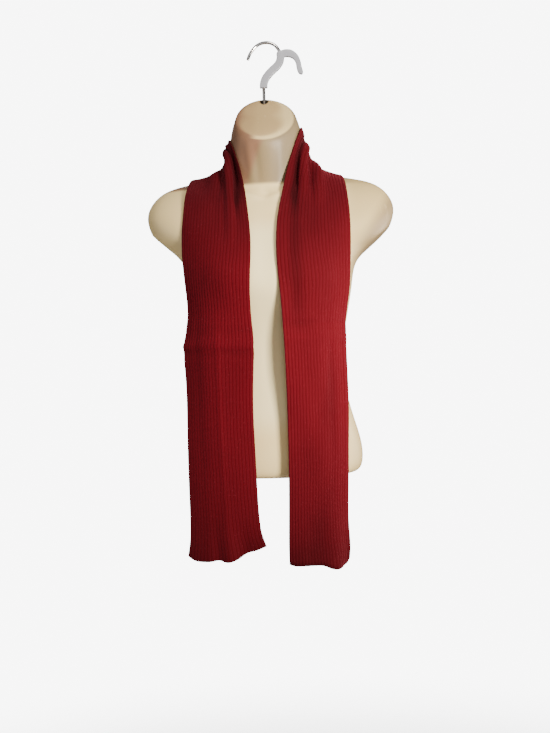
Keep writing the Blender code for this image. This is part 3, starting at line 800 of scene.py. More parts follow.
@dataclass
class TorsoForm:
    """The limbless moulded form that the scarf lies on."""

    columns: int = 16
    arm_rings: tuple[str, str] = ("armpit", "arm opening")
    arm_top: tuple[float, float] = (203.0, -304.0)  # x and z of the two ends of the arm's oval cut
    arm_foot: tuple[float, float] = (141.0, -358.0)
    arm_y: float = 10.0
    arm_half_depth: float = 46.0
    arm_turn: float = radians(28)
    arm_crease: float = 0.8
    smoothness: int = 3
    swell_end: float = 0.6  # of a swell's rise, at its ends
    sharp_degrees: float = 50.0
    hole_x: float = -3.0
    hole_radius: float = 6.3
    hole_foot: float = -126.0
    hole_top: float = -75.0

    def ring_point(self, ring: Ring, turn: float) -> list[float]:
        """The cage point at a turn round the ring, from +X toward the back."""
        across = abs(cos(turn)) ** ring.square
        along = abs(sin(turn)) ** ring.square
        x = ring.shift_x + ring.side_x * across * (1 if cos(turn) >= 0 else -1)
        end_y, end_z = (ring.back_y, ring.back_z) if sin(turn) > 0 else (ring.front_y, ring.front_z)
        return [x, ring.side_y + (end_y - ring.side_y) * along, ring.side_z + (end_z - ring.side_z) * along]

    def arm_point(self, turn: float, side: Side) -> list[float]:
        """A point of the oval in which an arm is cut off: a quarter turn is its top."""
        top, foot = Vector(self.arm_top), Vector(self.arm_foot)
        place = (top + foot) / 2 + (top - foot) / 2 * sin(turn)
        return [side.value * place.x, self.arm_y + self.arm_half_depth * cos(turn), place.y]

    def cage_ring(self, ring: Ring) -> list[list[float]]:
        """The cage points of one ring; the two arm rings have three points a side on the oval cut."""
        points = [self.ring_point(ring, 2 * pi * k / self.columns) for k in range(self.columns)]
        if ring.name in self.arm_rings:
            lift = 1 if ring.name == self.arm_rings[1] else -1
            turns = (pi / 2 * lift, lift * self.arm_turn, pi - lift * self.arm_turn)
            for side, middle in ((Side.RIGHT, 0), (Side.LEFT, self.columns // 2)):
                for step, turn in zip((0, side.value, -side.value), turns):
                    points[(middle + step) % self.columns] = self.arm_point(turn, side)
        return points

    def crease_arm_cuts(self, piece: Piece) -> None:
        """Keeps the rim of each arm's cut crisp when the cage is smoothed."""
        names = [ring.name for ring in FORM_RINGS]
        low, high = (names.index(name) for name in self.arm_rings)
        mesh = bmesh.from_edit_mesh(piece.data)
        rings, columns = (mesh.verts.layers.int[name] for name in ("ring", "column"))
        found = {(vertex[rings], vertex[columns]): vertex for vertex in mesh.verts}
        bpy.ops.mesh.select_all(action="DESELECT")
        for middle in (0, self.columns // 2):
            near = [(middle + step) % self.columns for step in (-1, 0, 1)]
            rim = [found[low, k] for k in near] + [found[high, k] for k in reversed(near)]
            for here, there in zip(rim, rim[1:] + rim[:1]):
                mesh.edges.get((here, there)).select = True
        bmesh.update_edit_mesh(piece.data)
        bpy.ops.transform.edge_crease(value=self.arm_crease)

    def raise_swells(self, piece: Piece) -> None:
        """Lifts the soft ridges on the front and presses the hollows in."""
        piece.data.update()
        for vertex in piece.data.vertices:
            if vertex.co.y > 0:
                continue
            here = Vector((vertex.co.x, vertex.co.z)) / MM
            rise = 0.0
            for swell in SWELLS:
                start, end = Vector((swell.x, swell.z)), Vector((swell.end_x, swell.end_z))
                along = end - start
                t = min(max((here - start).dot(along) / along.length_squared, 0.0), 1.0)
                off = (here - start - along * t).length / swell.half_width
                middle = self.swell_end + (1 - self.swell_end) * sin(pi * t)
                rise += swell.rise * np.exp(-(off**2)) * middle
            vertex.co += vertex.normal * rise * MM

    def build(self, finish: Material) -> Piece:
        """Models the form and returns it."""
        rings = np.array([self.cage_ring(ring) for ring in FORM_RINGS])
        piece = extruded_rings("moulded_form", rings)
        bpy.ops.mesh.select_mode(type="EDGE")
        self.crease_arm_cuts(piece)
        for number, ring in enumerate(FORM_RINGS):
            if ring.name in FIRM_RINGS:
                select_ring(piece, number)
                bpy.ops.transform.edge_crease(value=FIRM_RINGS[ring.name])
        set_mode("OBJECT")
        finish_modifier(piece, "SUBSURF", "Soft form", levels=self.smoothness, render_levels=self.smoothness)
        self.raise_swells(piece)
        height = self.hole_top - self.hole_foot
        middle = (self.hole_x * MM, 0.0, (self.hole_foot + height / 2) * MM)
        sizes = {"vertices": 48, "radius": self.hole_radius * MM, "depth": height * MM}
        cut_away(piece, add_object(bpy.ops.mesh.primitive_cylinder_add, location=middle, **sizes))
        smooth_shading(piece, self.sharp_degrees)
        return dress(piece, finish, Slot.FORM, "torso_form")


# --- The hook -------------------------------------------------------------------------------------


class Stroke(NamedTuple):
    """A place on the side hook's middle line and the hook's half width there."""

    x: float
    z: float
    half_width: float


class Place(NamedTuple):
    """A place on the middle of the hook's wire, seen from the front."""

    x: float
    z: float


WIRE_PLACES = rows_of(
    Place,
    (-28.4, -25.0), (-24.3, -15.2), (-19.2, -8.2), (-13.0, -2.1), (-5.6, 1.5), (2.2, 2.6),
    (10.6, 1.2), (18.2, -3.3), (23.8, -11.4), (26.3, -21.5), (25.0, -30.0), (20.2, -37.4),
    (12.8, -43.8), (5.4, -51.0), (0.0, -58.4), (-2.6, -66.0), (-3.0, -73.0), (-3.0, -80.0),
)
SIDE_HOOK = rows_of(
    Stroke,
    (25.5, -20.0, 5.6), (33.0, -17.4, 6.0), (42.0, -18.0, 6.0), (50.5, -23.6, 5.0),
    (55.2, -32.6, 4.3), (56.8, -42.0, 4.4), (58.4, -47.6, 4.3), (60.2, -51.0, 3.2),
    (61.1, -52.6, 1.3),
)


@dataclass
class Hook:
    """The wire hook in its socket, with the plastic sleeve that clips on it."""

    wire_radius: float = 2.6
    wire_sides: int = 20
    tip_round: float = 1.9
    tip_segments: int = 4
    stem_x: float = -3.0
    stem_foot: float = -122.0
    step: float = 1.5
    socket_top: float = -95.0
    socket_foot: float = -125.0
    socket_radius: float = 6.0
    seat_gap: float = 0.3
    sleeve_front: float = -5.0
    sleeve_back: float = 2.2
    sleeve_foot: float = -72.5
    sleeve_half_width: float = 6.3
    sleeve_start: float = 73.5  # along the wire from its tip
    side_hook_rings: int = 40
    side_hook_depth: float = 0.996  # of the bar's, so that no faces of the two lie in one plane
    sleeve_round: float = 1.5
    sleeve_taper: float = 4.5  # how far the sleeve narrows toward its top end
    sleeve_end: float = 0.55  # of its width, at that end
    sleeve_sharp_degrees: float = 42.0
    bore_past: tuple[float, float] = (9.0, 8.0)  # how far the channel runs on past the sleeve's ends
    socket_sharp_degrees: float = 35.0

    def wire_line(self, start: float, foot: float) -> Array:
        """Points down the wire, from a length along it to the height of a foot on its straight stem."""
        table = np.array(WIRE_PLACES)
        lengths = run_lengths(table)
        count = int((lengths[-1] - start) / self.step)
        line = smooth_through(lengths, table, np.linspace(start, lengths[-1], count + 1))
        line = np.append(line[line[:, 1] > foot + self.step / 2], [(self.stem_x, foot)], axis=0)
        return np.insert(line, 1, 0.0, axis=1)

    def swept(self, name: str, line: Array, outline: Array, widths: Array) -> Piece:
        """Extrudes an outline along a line that lies in the X-Z plane.

        Args:
            name: the piece's name.
            line: the points that the outline follows.
            outline: the outline's points, as a share of the width and a depth in Y.
            widths: the half width at each point of the line.

        Returns:
            The piece.
        """
        path = unit(np.gradient(line, axis=0))
        across = np.stack([-path[:, 2], np.zeros(len(line)), path[:, 0]], axis=1)
        rings = line[:, None] + across[:, None] * (outline[None, :, 0] * widths[:, None])[..., None]
        rings[..., 1] += outline[None, :, 1]
        piece = extruded_rings(name, rings)
        set_mode("OBJECT")
        return piece

    def round_bar(self, radius: float, count: int) -> tuple[Array, Array]:
        """The outline and half widths of a round bar along a line of so many points."""
        turns = np.linspace(0, 2 * pi, self.wire_sides, endpoint=False)
        return np.stack([np.cos(turns), np.sin(turns) * radius], axis=1), np.full(count, radius)

    def bar_outline(self) -> Array:
        """The rounded section of the sleeve and its side hook: a share of the width, and Y."""
        middle = (self.sleeve_front + self.sleeve_back) / 2
        depth = (self.sleeve_back - self.sleeve_front) / 2 - self.sleeve_round
        share = self.sleeve_round / self.sleeve_half_width
        points = []
        for quarter, (right, back) in enumerate(((1, 1), (-1, 1), (-1, -1), (1, -1))):
            for turn in np.linspace(quarter * pi / 2, (quarter + 1) * pi / 2, 5):
                x = right * (1 - share) + share * cos(turn)
                points.append((x, middle + back * depth + self.sleeve_round * sin(turn)))
        return np.array(points)

    def add_wire(self, finish: Material) -> Piece:
        """Models the wire, with its end rounded off."""
        line = self.wire_line(0.0, self.stem_foot)
        piece = self.swept("wire_hook", line, *self.round_bar(self.wire_radius, len(line)))
        tip = {"segments": self.tip_segments, "limit_method": "ANGLE", "angle_limit": radians(50)}
        finish_modifier(piece, "BEVEL", "Rounded tip", width=self.tip_round * MM, **tip)
        smooth_shading(piece)
        return dress(piece, finish, Slot.WIRE, "hook_wire")

    def add_sleeve(self, finish: Material) -> Piece:
        """Models the sleeve: a rounded bar over the wire, its side hook, and the channel it clips on by."""
        outline = self.bar_outline()
        line = self.wire_line(self.sleeve_start, self.sleeve_foot)
        near_end = np.clip(np.arange(len(line)) * self.step / self.sleeve_taper, 0, 1)
        widths = self.sleeve_half_width * (self.sleeve_end + (1 - self.sleeve_end) * np.sqrt(near_end))
        piece = self.swept("sleeve_moulding", line, outline, widths)
        table = np.array(SIDE_HOOK)
        lengths = run_lengths(table[:, :2])
        smooth = smooth_through(lengths, table, np.linspace(0, lengths[-1], self.side_hook_rings))
        middle = np.insert(smooth[:, :2], 1, 0.0, axis=1)
        inset = outline * (1.0, self.side_hook_depth)
        cut_away(piece, self.swept("side_hook", middle, inset, smooth[:, 2]), "UNION")
        bore_line = self.wire_line(self.sleeve_start - self.bore_past[0], self.sleeve_foot - self.bore_past[1])
        bore = self.round_bar(self.wire_radius + self.seat_gap, len(bore_line))
        cut_away(piece, self.swept("channel", bore_line, *bore))
        smooth_shading(piece, self.sleeve_sharp_degrees)
        return dress(piece, finish, Slot.SLEEVE, "hook_sleeve")

    def add_socket(self, finish: Material) -> Piece:
        """Models the turned socket, with a rounded lip and the bore that the stem stands in."""
        wire, side, top, foot = self.wire_radius, self.socket_radius, self.socket_top, self.socket_foot
        gap = self.seat_gap
        profile = (
            (wire + gap, self.stem_foot - gap), (wire + gap, top - 1.2), (wire + 1.3, top - 0.1),
            (side - 1.0, top), (side - 0.3, top - 0.4), (side, top - 1.2), (side, foot + 0.8), (side - 0.8, foot),
        )
        turns = np.linspace(0, 2 * pi, 2 * self.wire_sides, endpoint=False)
        rings = [[(self.stem_x + r * cos(turn), r * sin(turn), z) for turn in turns] for r, z in profile]
        piece = extruded_rings("socket_collar", np.array(rings))
        set_mode("OBJECT")
        smooth_shading(piece, self.socket_sharp_degrees)
        return dress(piece, finish, Slot.SOCKET, "hook_socket")


# --- The scarf ------------------------------------------------------------------------------------


class Section(NamedTuple):
    """A crossing of the scarf, from its inner edge by the neck to its outer edge.

    sink is 0 where the cloth goes straight across and 1 where it stands at the neck, then falls and spreads.
    bow arches the middle outward, and rows says how many rows of the mesh follow before the next section.
    """

    in_x: float
    in_y: float
    in_z: float
    out_x: float
    out_y: float
    out_z: float
    sink: float
    bow: float
    rows: int


RIGHT_TAIL = rows_of(
    Section,
    (23.5, -108, -838, 116, -86, -836, 0, 8, 1), (22.5, -109, -822, 120.5, -80, -823, 0, 8, 1),
    (23.5, -110, -800, 116, -80, -803, 0, 9, 2), (25.5, -112, -740, 114.5, -78, -744, 0, 9, 2),
    (27, -113, -680, 118, -76, -683, 0, 10, 2), (27, -114, -625, 119, -73, -628, 0, 10, 2),
    (27, -115, -570, 120, -70, -573, 0, 10, 2), (26, -117, -520, 119, -68, -524, 0, 10, 1),
    (25.5, -119, -489, 120, -67, -490, 0, 10, 1), (23.5, -119, -466, 117, -65, -467, 0, 10, 1),
    (23, -121, -441, 123, -66, -441, 0, 10, 2), (21, -122, -414, 128, -66, -414, 0, 10, 2),
    (18, -120, -384, 129, -66, -383, 0, 10, 2), (16.6, -109, -352, 131, -68, -352, 0, 8, 2),
    (16.2, -92, -320, 132, -71, -322, 0, 2, 2), (19.6, -74, -288, 132, -63, -292, 0, 0, 1),
    (22.8, -61, -267, 130, -52, -271, 0.1, 0, 1), (26.5, -52, -250, 128, -38, -253, 0.3, 0, 2),
)
RIGHT_NECK = rows_of(
    Section,
    (31, -47, -226, 126, -23, -238, 0.6, 0, 2), (40.2, -46, -193, 123, -5, -226, 0.9, 0, 2),
    (48, -41, -164, 119, 14, -222, 1, 0, 2), (53, -24, -146.5, 114, 30, -224, 1, 0, 2),
    (53, 2, -142, 103, 47, -230, 1, 0, 2), (39, 22, -145, 82, 60, -238, 0.9, 0, 2),
    (20, 29, -149, 45, 68, -247, 0.8, 0, 2),
)
NAPE = rows_of(Section, (0, 31, -152, 0, 71, -251, 0.7, 0, 2))
LEFT_NECK = rows_of(
    Section,
    (-20, 29, -153, -46, 68, -248, 0.8, 0, 2), (-41, 22, -153, -85, 60, -240, 0.9, 0, 2),
    (-53.5, 2, -159, -110, 47, -231, 1, 0, 2), (-52.5, -21, -161, -119, 31, -223, 1, 0, 2),
    (-50.5, -34.5, -171, -124, 16, -219, 1, 0, 2), (-46.4, -41, -190, -128, 3, -221, 0.9, 0, 2),
    (-40, -42.5, -217, -130, -7, -229, 0.6, 0, 2),
)
LEFT_TAIL = rows_of(
    Section,
    (-34.5, -46, -245, -132, -20, -239, 0.3, 0, 1), (-32, -57, -265, -132, -40, -259, 0.1, 0, 1),
    (-27.9, -73, -287, -134, -55, -281, 0, 0, 2), (-23.7, -91, -320, -134, -67, -311, 0, 2, 2),
    (-21.5, -108, -353, -136, -66, -343, 0, 7, 2), (-23, -119, -385, -134, -64, -375, 0, 9, 2),
    (-24, -120, -415, -132, -64, -407, 0, 9, 2), (-24, -118, -440, -129, -64, -435, 0, 9, 1),
    (-24, -115, -462, -127, -64, -457, 0, 9, 1), (-20.6, -117, -486, -134.5, -66, -481, 0, 9, 1),
    (-18.5, -121, -500, -141, -70, -496, 0, 8, 1), (-21.5, -117, -522, -136, -67, -518, 0, 8, 2),
    (-24, -115, -568, -133.3, -69, -566, 0, 8, 2), (-25, -113, -623, -133.2, -72, -621, 0, 8, 2),
    (-23.4, -111, -677, -133, -75, -675, 0, 8, 2), (-21.8, -110, -738, -132, -78, -738, 0, 8, 2),
    (-20, -109, -778, -131.5, -80, -793, 0, 8, 1), (-18, -110, -794, -132, -82, -812, 0, 8, 1),
    (-9.5, -112, -807, -136.5, -86, -828, 0, 8, 0),
)
SECTIONS = RIGHT_TAIL + RIGHT_NECK + NAPE + LEFT_NECK + LEFT_TAIL


class Fold(NamedTuple):
    """A lengthwise fold between two sections, counted from the right hem; its rise is below 0 in a valley."""

    name: str
    first: float
    last: float
    start_across: float
    end_across: float
    half_width: float
    rise: float


MAIN_FOLDS = rows_of(
    Fold,
    ("right neck valley", 14.5, 24, 0.22, 0.13, 0.10, -8),
    ("right neck ridge", 14, 26, 0.34, 0.24, 0.09, 9),
    ("right second valley", 16, 22, 0.43, 0.38, 0.08, -4.5),
    ("right shoulder swell", 15.5, 22.5, 0.56, 0.52, 0.11, 10),
    ("nape crease", 21, 30, 0.38, 0.36, 0.12, -4),
    ("left neck valley", 27.5, 35.6, 0.09, 0.185, 0.10, -9),
    ("left neck ridge", 22, 37, 0.14, 0.30, 0.09, 11),
    ("left collar top", 25.5, 30.8, 0.11, 0.14, 0.08, 5.5),
    ("left collar foot", 27, 34, 0.38, 0.42, 0.08, -4),
    ("left shoulder swell", 28.5, 35, 0.52, 0.55, 0.15, 3),
    ("right chest trough", 8.5, 18.5, 0.18, 0.30, 0.12, -3),
    ("left tail bend", 37, 53, 0.60, 0.62, 0.40, 3),
)
SMALL_FOLDS = rows_of(
    Fold,
    ("right valley floor", 15, 24, 0.215, 0.14, 0.05, -2.6),
    ("right ridge crown", 14.5, 25, 0.29, 0.20, 0.04, 1.5),
    ("right outer pleat", 14, 20, 0.43, 0.40, 0.04, 1.2),
    ("left valley floor", 29, 35.5, 0.10, 0.18, 0.05, -2.6),
    ("left collar roll", 26.4, 30.6, 0.095, 0.105, 0.05, 5.0),
    ("left ridge crown", 26, 37, 0.15, 0.26, 0.04, 1.6),
    ("left outer pleat", 30, 36.5, 0.36, 0.44, 0.05, 1.1),
    ("nape pleat", 21.5, 29, 0.62, 0.60, 0.05, -1.6),
    ("right tail trough", 2, 11, 0.72, 0.66, 0.09, -1.2),
    ("right edge roll", 1, 14, 0.94, 0.95, 0.05, 1.1),
    ("left tail trough", 38, 50, 0.80, 0.74, 0.08, -0.5),
    ("left tail ridge", 40, 51, 0.48, 0.42, 0.06, 0.9),
)


SHADE_SLOTS = rows_of(Fold, ("left collar slot", 28.2, 34.8, 0.14, 0.20, 0.035, -0.5))  # painted shade only: a dark slot on the left collar where no valley is modelled


class Crease(NamedTuple):
    """A crosswise crease left by storing the scarf folded: its section, slope across, rise and half length."""

    section: float
    slope: float  # in sections, from the inner edge to the outer
    rise: float
    half_length: float


CREASES = rows_of(
    Crease,
    (43.0, 0.05, 2.7, 4.5), (43.6, 0.05, -1.3, 5.0), (41.8, 0.1, -1.0, 9.0),
    (9.0, 0.1, -1.3, 8.0), (8.0, 0.0, 1.1, 9.0), (25.2, 0.2, 0.8, 8.0),
)


class HemPoint(NamedTuple):
    """A place across a hem, with the cloth's drop below a straight hem there and its wave outward."""

    across: float
    drop: float
    wave: float


RIGHT_HEM = rows_of(
    HemPoint,
    (0.00, 0, -1), (0.08, 3, 0), (0.20, 3.5, 2), (0.38, 4.5, -2), (0.56, 6, -1), (0.70, 11.5, 4),
    (0.82, 12, 3), (0.89, 7, -3), (0.95, 5, -6), (1.00, -2, -3),
)
LEFT_HEM = rows_of(
    HemPoint,
    (0.00, 0, 8), (0.12, 5.5, 3), (0.24, 8, -2), (0.33, 14, 0), (0.39, 17, 4), (0.46, 18.5, 4),
    (0.53, 15, -1), (0.59, 12.5, -3), (0.66, 13.5, 1), (0.77, 12, 2), (0.92, 7, 0), (1.00, 0, -4),
)


class ShadeStop(NamedTuple):
    """How much painted shade the scarf takes at a section, from 0 to 1, standing in for less light: toward the
    hems, round the neck and over the chest.
    """

    section: float
    shade: float


# painted shade along the scarf
LENGTHWISE_SHADES = rows_of(
    ShadeStop,
    (0, 0.60), (1.5, 0.54), (3, 0.30), (5, 0.12), (7, 0.05), (9, 0.06), (10.5, 0.16), (13, 0.34),
    (15, 0.46), (18, 0.52), (25, 0.50), (28, 0.64), (32, 0.66), (34, 0.60), (36, 0.44), (38, 0.12),
    (40, 0.0), (42, 0.0), (46, 0.05), (49, 0.30), (51, 0.50),
)


class RibShare(NamedTuple):
    """How much of their full depth the ribs have at a section, because pulled cloth lies flatter."""

    section: float
    share: float


RIB_SHARES = rows_of(
    RibShare,
    (0, 0.85), (4, 1.0), (13, 1.0), (17, 0.6), (25, 0.5), (29, 0.3), (33, 0.1), (37, 0.25),
    (39.5, 0.55), (42, 0.5), (44, 0.25), (51, 0.2),
)


@dataclass
class Scarf:
    """One length of rib knitting, laid round the neck with both tails hanging in front."""

    form: Piece
    ribs: int = 22
    columns: int = 45  # of the cloth as it first settles
    columns_a_rib: int = 6
    tail_step: float = 5.5  # between the fine rows
    neck_step: float = 3.1
    neck_from: float = 14.0  # the sections between which the rows are closer
    neck_to: float = 37.0
    form_gap: float = 0.8
    middle_rise: float = 1.75  # from the cloth's settled inside to the middle of its wall
    wall: float = 1.7
    rib_depth: float = 0.32
    edge_share: float = 0.45  # of the wall's thickness, at the edges
    hem_shares: tuple[float, float, float] = (0.6, 1.0, 0.9)  # of the hem's row and the next two
    corner_share: float = 0.12
    hem_reach: float = 70.0
    resting_passes: int = 3
    easing_passes: int = 2
    easing_share: float = 0.4
    valley_depth: float = 9.0
    valley_shade: float = 0.75
    patch_shade: float = 0.08
    most_shade: float = 0.96
    right_middle_shade: float = 0.08  # of the painted shade down the right tail's middle
    right_edge_light: float = 1.8  # painted light: how much its outer edge lightens, as a share of that
    right_ends: tuple[float, float] = (14.0, 17.0)  # the sections between which it fades out
    crease_waver: float = 2.0
    deepest_dip: float = 2.8  # of the small folds, so that the cloth stays clear of the form
    rib_waver: float = 0.55
    rib_unevenness: float = 0.28
    soft_wave: float = 1.0
    flat_size: tuple[float, float] = (110.0, 1560.0)
    form_tree: BVHTree = field(init=False)

    def __post_init__(self) -> None:
        """Reads the surface that the cloth rests on."""
        form = self.form.data
        form.calc_loop_triangles()
        corners = [tuple(vertex.co / MM) for vertex in form.vertices]
        self.form_tree = BVHTree.FromPolygons(corners, [tuple(tri.vertices) for tri in form.loop_triangles])

    def places(self) -> tuple[Array, Array]:
        """The sections' numbers, and how far along the scarf each one lies."""
        table = np.array([section[:6] for section in SECTIONS])
        return np.arange(len(SECTIONS)), run_lengths((table[:, :3] + table[:, 3:]) / 2)

    def row_numbers(self) -> Array:
        """The rows in which the cloth settles, counted in sections."""
        numbers: list[float] = []
        for k, section in enumerate(SECTIONS[:-1]):
            numbers += [k + step / section.rows for step in range(section.rows)]
        return np.array([*numbers, len(SECTIONS) - 1.0])

    def fine_numbers(self) -> Array:
        """The rows of the finished cloth, counted in sections, closer together round the neck."""
        order, places = self.places()
        numbers = [0.0]
        while numbers[-1] < order[-1]:
            step = self.neck_step if self.neck_from < numbers[-1] < self.neck_to else self.tail_step
            numbers.append(float(np.interp(np.interp(numbers[-1], order, places) + step, places, order)))
        return np.array(numbers)

    def shortfall(self, points: Array) -> Array:
        """How far each point of a grid must move to rest clear of the form."""
        moves = np.zeros_like(points)
        for place in np.ndindex(points.shape[:2]):
            point = Vector(points[place])
            surface, normal, _, _ = self.form_tree.find_nearest(point)
            if (point - surface).dot(normal) < self.form_gap:
                moves[place] = surface + normal * self.form_gap - point
        return moves

    def clear_of_form(self, grid: Array) -> Array:
        """The grid moved out where it is inside the form or too near it, at its points and between them."""
        moved = grid + self.shortfall(grid)
        lengthwise = self.shortfall((moved[:-1] + moved[1:]) / 2)
        moved[:-1] += lengthwise
        moved[1:] += lengthwise
        crosswise = self.shortfall((moved[:-1, :-1] + moved[1:, 1:]) / 2)
        moved[:-1, :-1] += crosswise
        moved[1:, 1:] += crosswise
        return moved

    def drop_hems(self, grid: Array, from_right: Array, from_left: Array) -> None:
        """Lowers and waves the cloth's ends, given each row's distance from either hem."""
        across = np.linspace(0, 1, grid.shape[1])
        for hem, reach in ((RIGHT_HEM, from_right), (LEFT_HEM, from_left)):
            table = np.array(hem)
            share = np.clip(1 - reach / self.hem_reach, 0, 1)[:, None] ** 2
            drop, wave = smooth_through(table[:, 0], table[:, 1:], across).T
            grid[..., 2] -= share * drop
            grid[..., 1] -= share * wave

    def hung(self, numbers: Array) -> Array:
        """The cloth before it rests on the form; each row curves from inner to outer edge by a corner point."""
        order, places = self.places()
        wanted = np.interp(numbers, order, places)
        table = smooth_through(places, np.array([section[:8] for section in SECTIONS]), wanted)
        inner, outer = table[:, None, :3], table[:, None, 3:6]
        sink, bow = table[:, None, 6:7], table[:, None, 7:8]
        path = unit(np.gradient((inner + outer)[:, 0] / 2, axis=0))[:, None]
        outward = unit(np.cross(outer - inner, path))
        straight = (inner + outer) / 2 + outward * bow * 2
        fallen = inner + (outer - inner) * self.corner_share
        fallen[..., 2] = outer[..., 2]
        corner = straight + (fallen - straight) * sink
        w = np.linspace(0, 1, self.columns)[None, :, None]
        grid = inner * (1 - w) ** 2 + corner * 2 * w * (1 - w) + outer * w**2
        self.drop_hems(grid, wanted, places[-1] - wanted)
        return grid

    def fold_rises(self, folds: Iterable[Fold], numbers: Array, columns: int) -> Array:
        """How far a set of folds lifts each point of a grid."""
        across = np.linspace(0, 1, columns)
        rises = np.zeros((len(numbers), columns))
        for fold in folds:
            t = np.clip((numbers - fold.first) / (fold.last - fold.first), 0, 1)
            middle = fold.start_across + (fold.end_across - fold.start_across) * t
            off = (across[None, :] - middle[:, None]) / fold.half_width
            rises += fold.rise * np.sin(pi * t)[:, None] * np.exp(-2 * off**2)
        return rises

    def crease_rises(self, numbers: Array, columns: int) -> Array:
        """How far the crosswise creases lift each point of a grid."""
        order, places = self.places()
        along = np.interp(numbers, order, places)
        across = np.linspace(0, 1, columns)
        rises = np.zeros((len(numbers), columns))
        halfway = np.array([0.5])
        for number, crease in enumerate(CREASES):
            line = np.interp(crease.section + crease.slope * across, order, places)
            line += self.crease_waver * uneven(Seed.CREASE_LINE + number, across, halfway, (6, 1))[0]
            off = (along[:, None] - line) / crease.half_length
            strength = 0.8 + 0.35 * uneven(Seed.CREASE_RISE + number, across, halfway, (4, 1))[0]
            rises += crease.rise * strength * np.exp(-2 * off**2)
        return rises

    def settled(self, numbers: Array) -> Array:
        """The inside of the cloth as rows of points, resting on the form, with its main folds."""
        grid = self.hung(numbers)
        for _ in range(self.resting_passes):
            grid = spread_evenly(self.clear_of_form(grid))
        grid = eased(grid, self.easing_share)
        rises = self.fold_rises(MAIN_FOLDS, numbers, self.columns)
        grid = grid + outward_normals(grid) * rises[..., None]
        for _ in range(self.easing_passes):
            grid = eased(spread_evenly(self.clear_of_form(grid)), self.easing_share)
        return self.clear_of_form(grid)

    def knitted(self) -> tuple[Array, Array, Array]:
        """The middle of the cloth's wall with every fold and rib.

        Returns:
            The grid of points, how far along the cloth each row lies, from 0 to 1, and each point's shade.
        """
        rows = self.row_numbers()
        fine_rows = self.fine_numbers()
        columns = self.ribs * self.columns_a_rib + 1
        settled = self.settled(rows)
        settled = settled + outward_normals(settled) * self.middle_rise
        grid = refined(settled, rows, fine_rows, columns)
        across = np.linspace(0, 1, columns)
        along = run_lengths(grid[:, columns // 2])
        along /= along[-1]
        normals = outward_normals(grid)
        wave = self.soft_wave * uneven(Seed.SOFT_WAVE, across, along, (4, 26))
        rises = self.fold_rises(SMALL_FOLDS, fine_rows, columns) + self.crease_rises(fine_rows, columns) + wave
        grid = grid + normals * np.maximum(rises, -self.deepest_dip)[..., None]
        sideways = unit(np.gradient(grid, axis=1))
        middle_of_cloth = np.sin(pi * across) ** 0.4
        waver = uneven(Seed.RIB_WAVER, across, along, (12, 90))
        waver += 0.5 * uneven(Seed.FINE_WAVER, across, along, (22, 170))
        grid = grid + sideways * (self.rib_waver * waver * middle_of_cloth)[..., None]
        depth = self.rib_depth * (1 + self.rib_unevenness * uneven(Seed.RIB_DEPTH, across, along, (22, 60)))
        depth *= read_at(RIB_SHARES, fine_rows)[:, None]
        ripple = -depth * np.cos(2 * pi * self.ribs * across)
        shade = self.shading(fine_rows, along, across, rises)
        return grid + outward_normals(grid) * ripple[..., None], along, shade

    def shading(self, numbers: Array, along: Array, across: Array, rises: Array) -> Array:
        """How much painted shade darkens the cloth, from 0 to 1: toward its hems, round the neck and chest, in its
        folds' valleys, in uneven patches, down the right tail's middle and in the left collar's slot.
        """
        main = self.fold_rises(MAIN_FOLDS[:-1], numbers, len(across))
        # painted shade in the folds' valleys
        valleys = np.clip(-(main + rises) / self.valley_depth, 0, 1) * self.valley_shade
        deeper = read_at(LENGTHWISE_SHADES, numbers)[:, None]
        patches = self.patch_shade * (0.5 + 0.5 * uneven(Seed.PATCHES, across, along, (5, 30)))
        # painted shade down the right tail's middle, with painted light on its outer edge
        on_right = np.interp(numbers, self.right_ends, (1, 0))[:, None]
        middle = self.right_middle_shade * on_right * (np.sin(pi * across) - self.right_edge_light * across**4)
        # painted shade of the left collar's slot
        slots = np.maximum(-self.fold_rises(SHADE_SLOTS, numbers, len(across)), 0)
        return np.clip(deeper + patches + valleys + middle + slots, 0, self.most_shade)

    def wall_weights(self, rows: int, columns: int) -> Array:
        """The wall's share of its full thickness: it thins toward the edges and at the very hems."""
        from_edge, from_hem = (np.minimum(np.arange(n), np.arange(n)[::-1]) for n in (columns, rows))
        side = np.interp(from_edge, (0, 3), (self.edge_share, 1.0))
        return side * np.interp(from_hem, (0, 1, 2), self.hem_shares)[:, None]

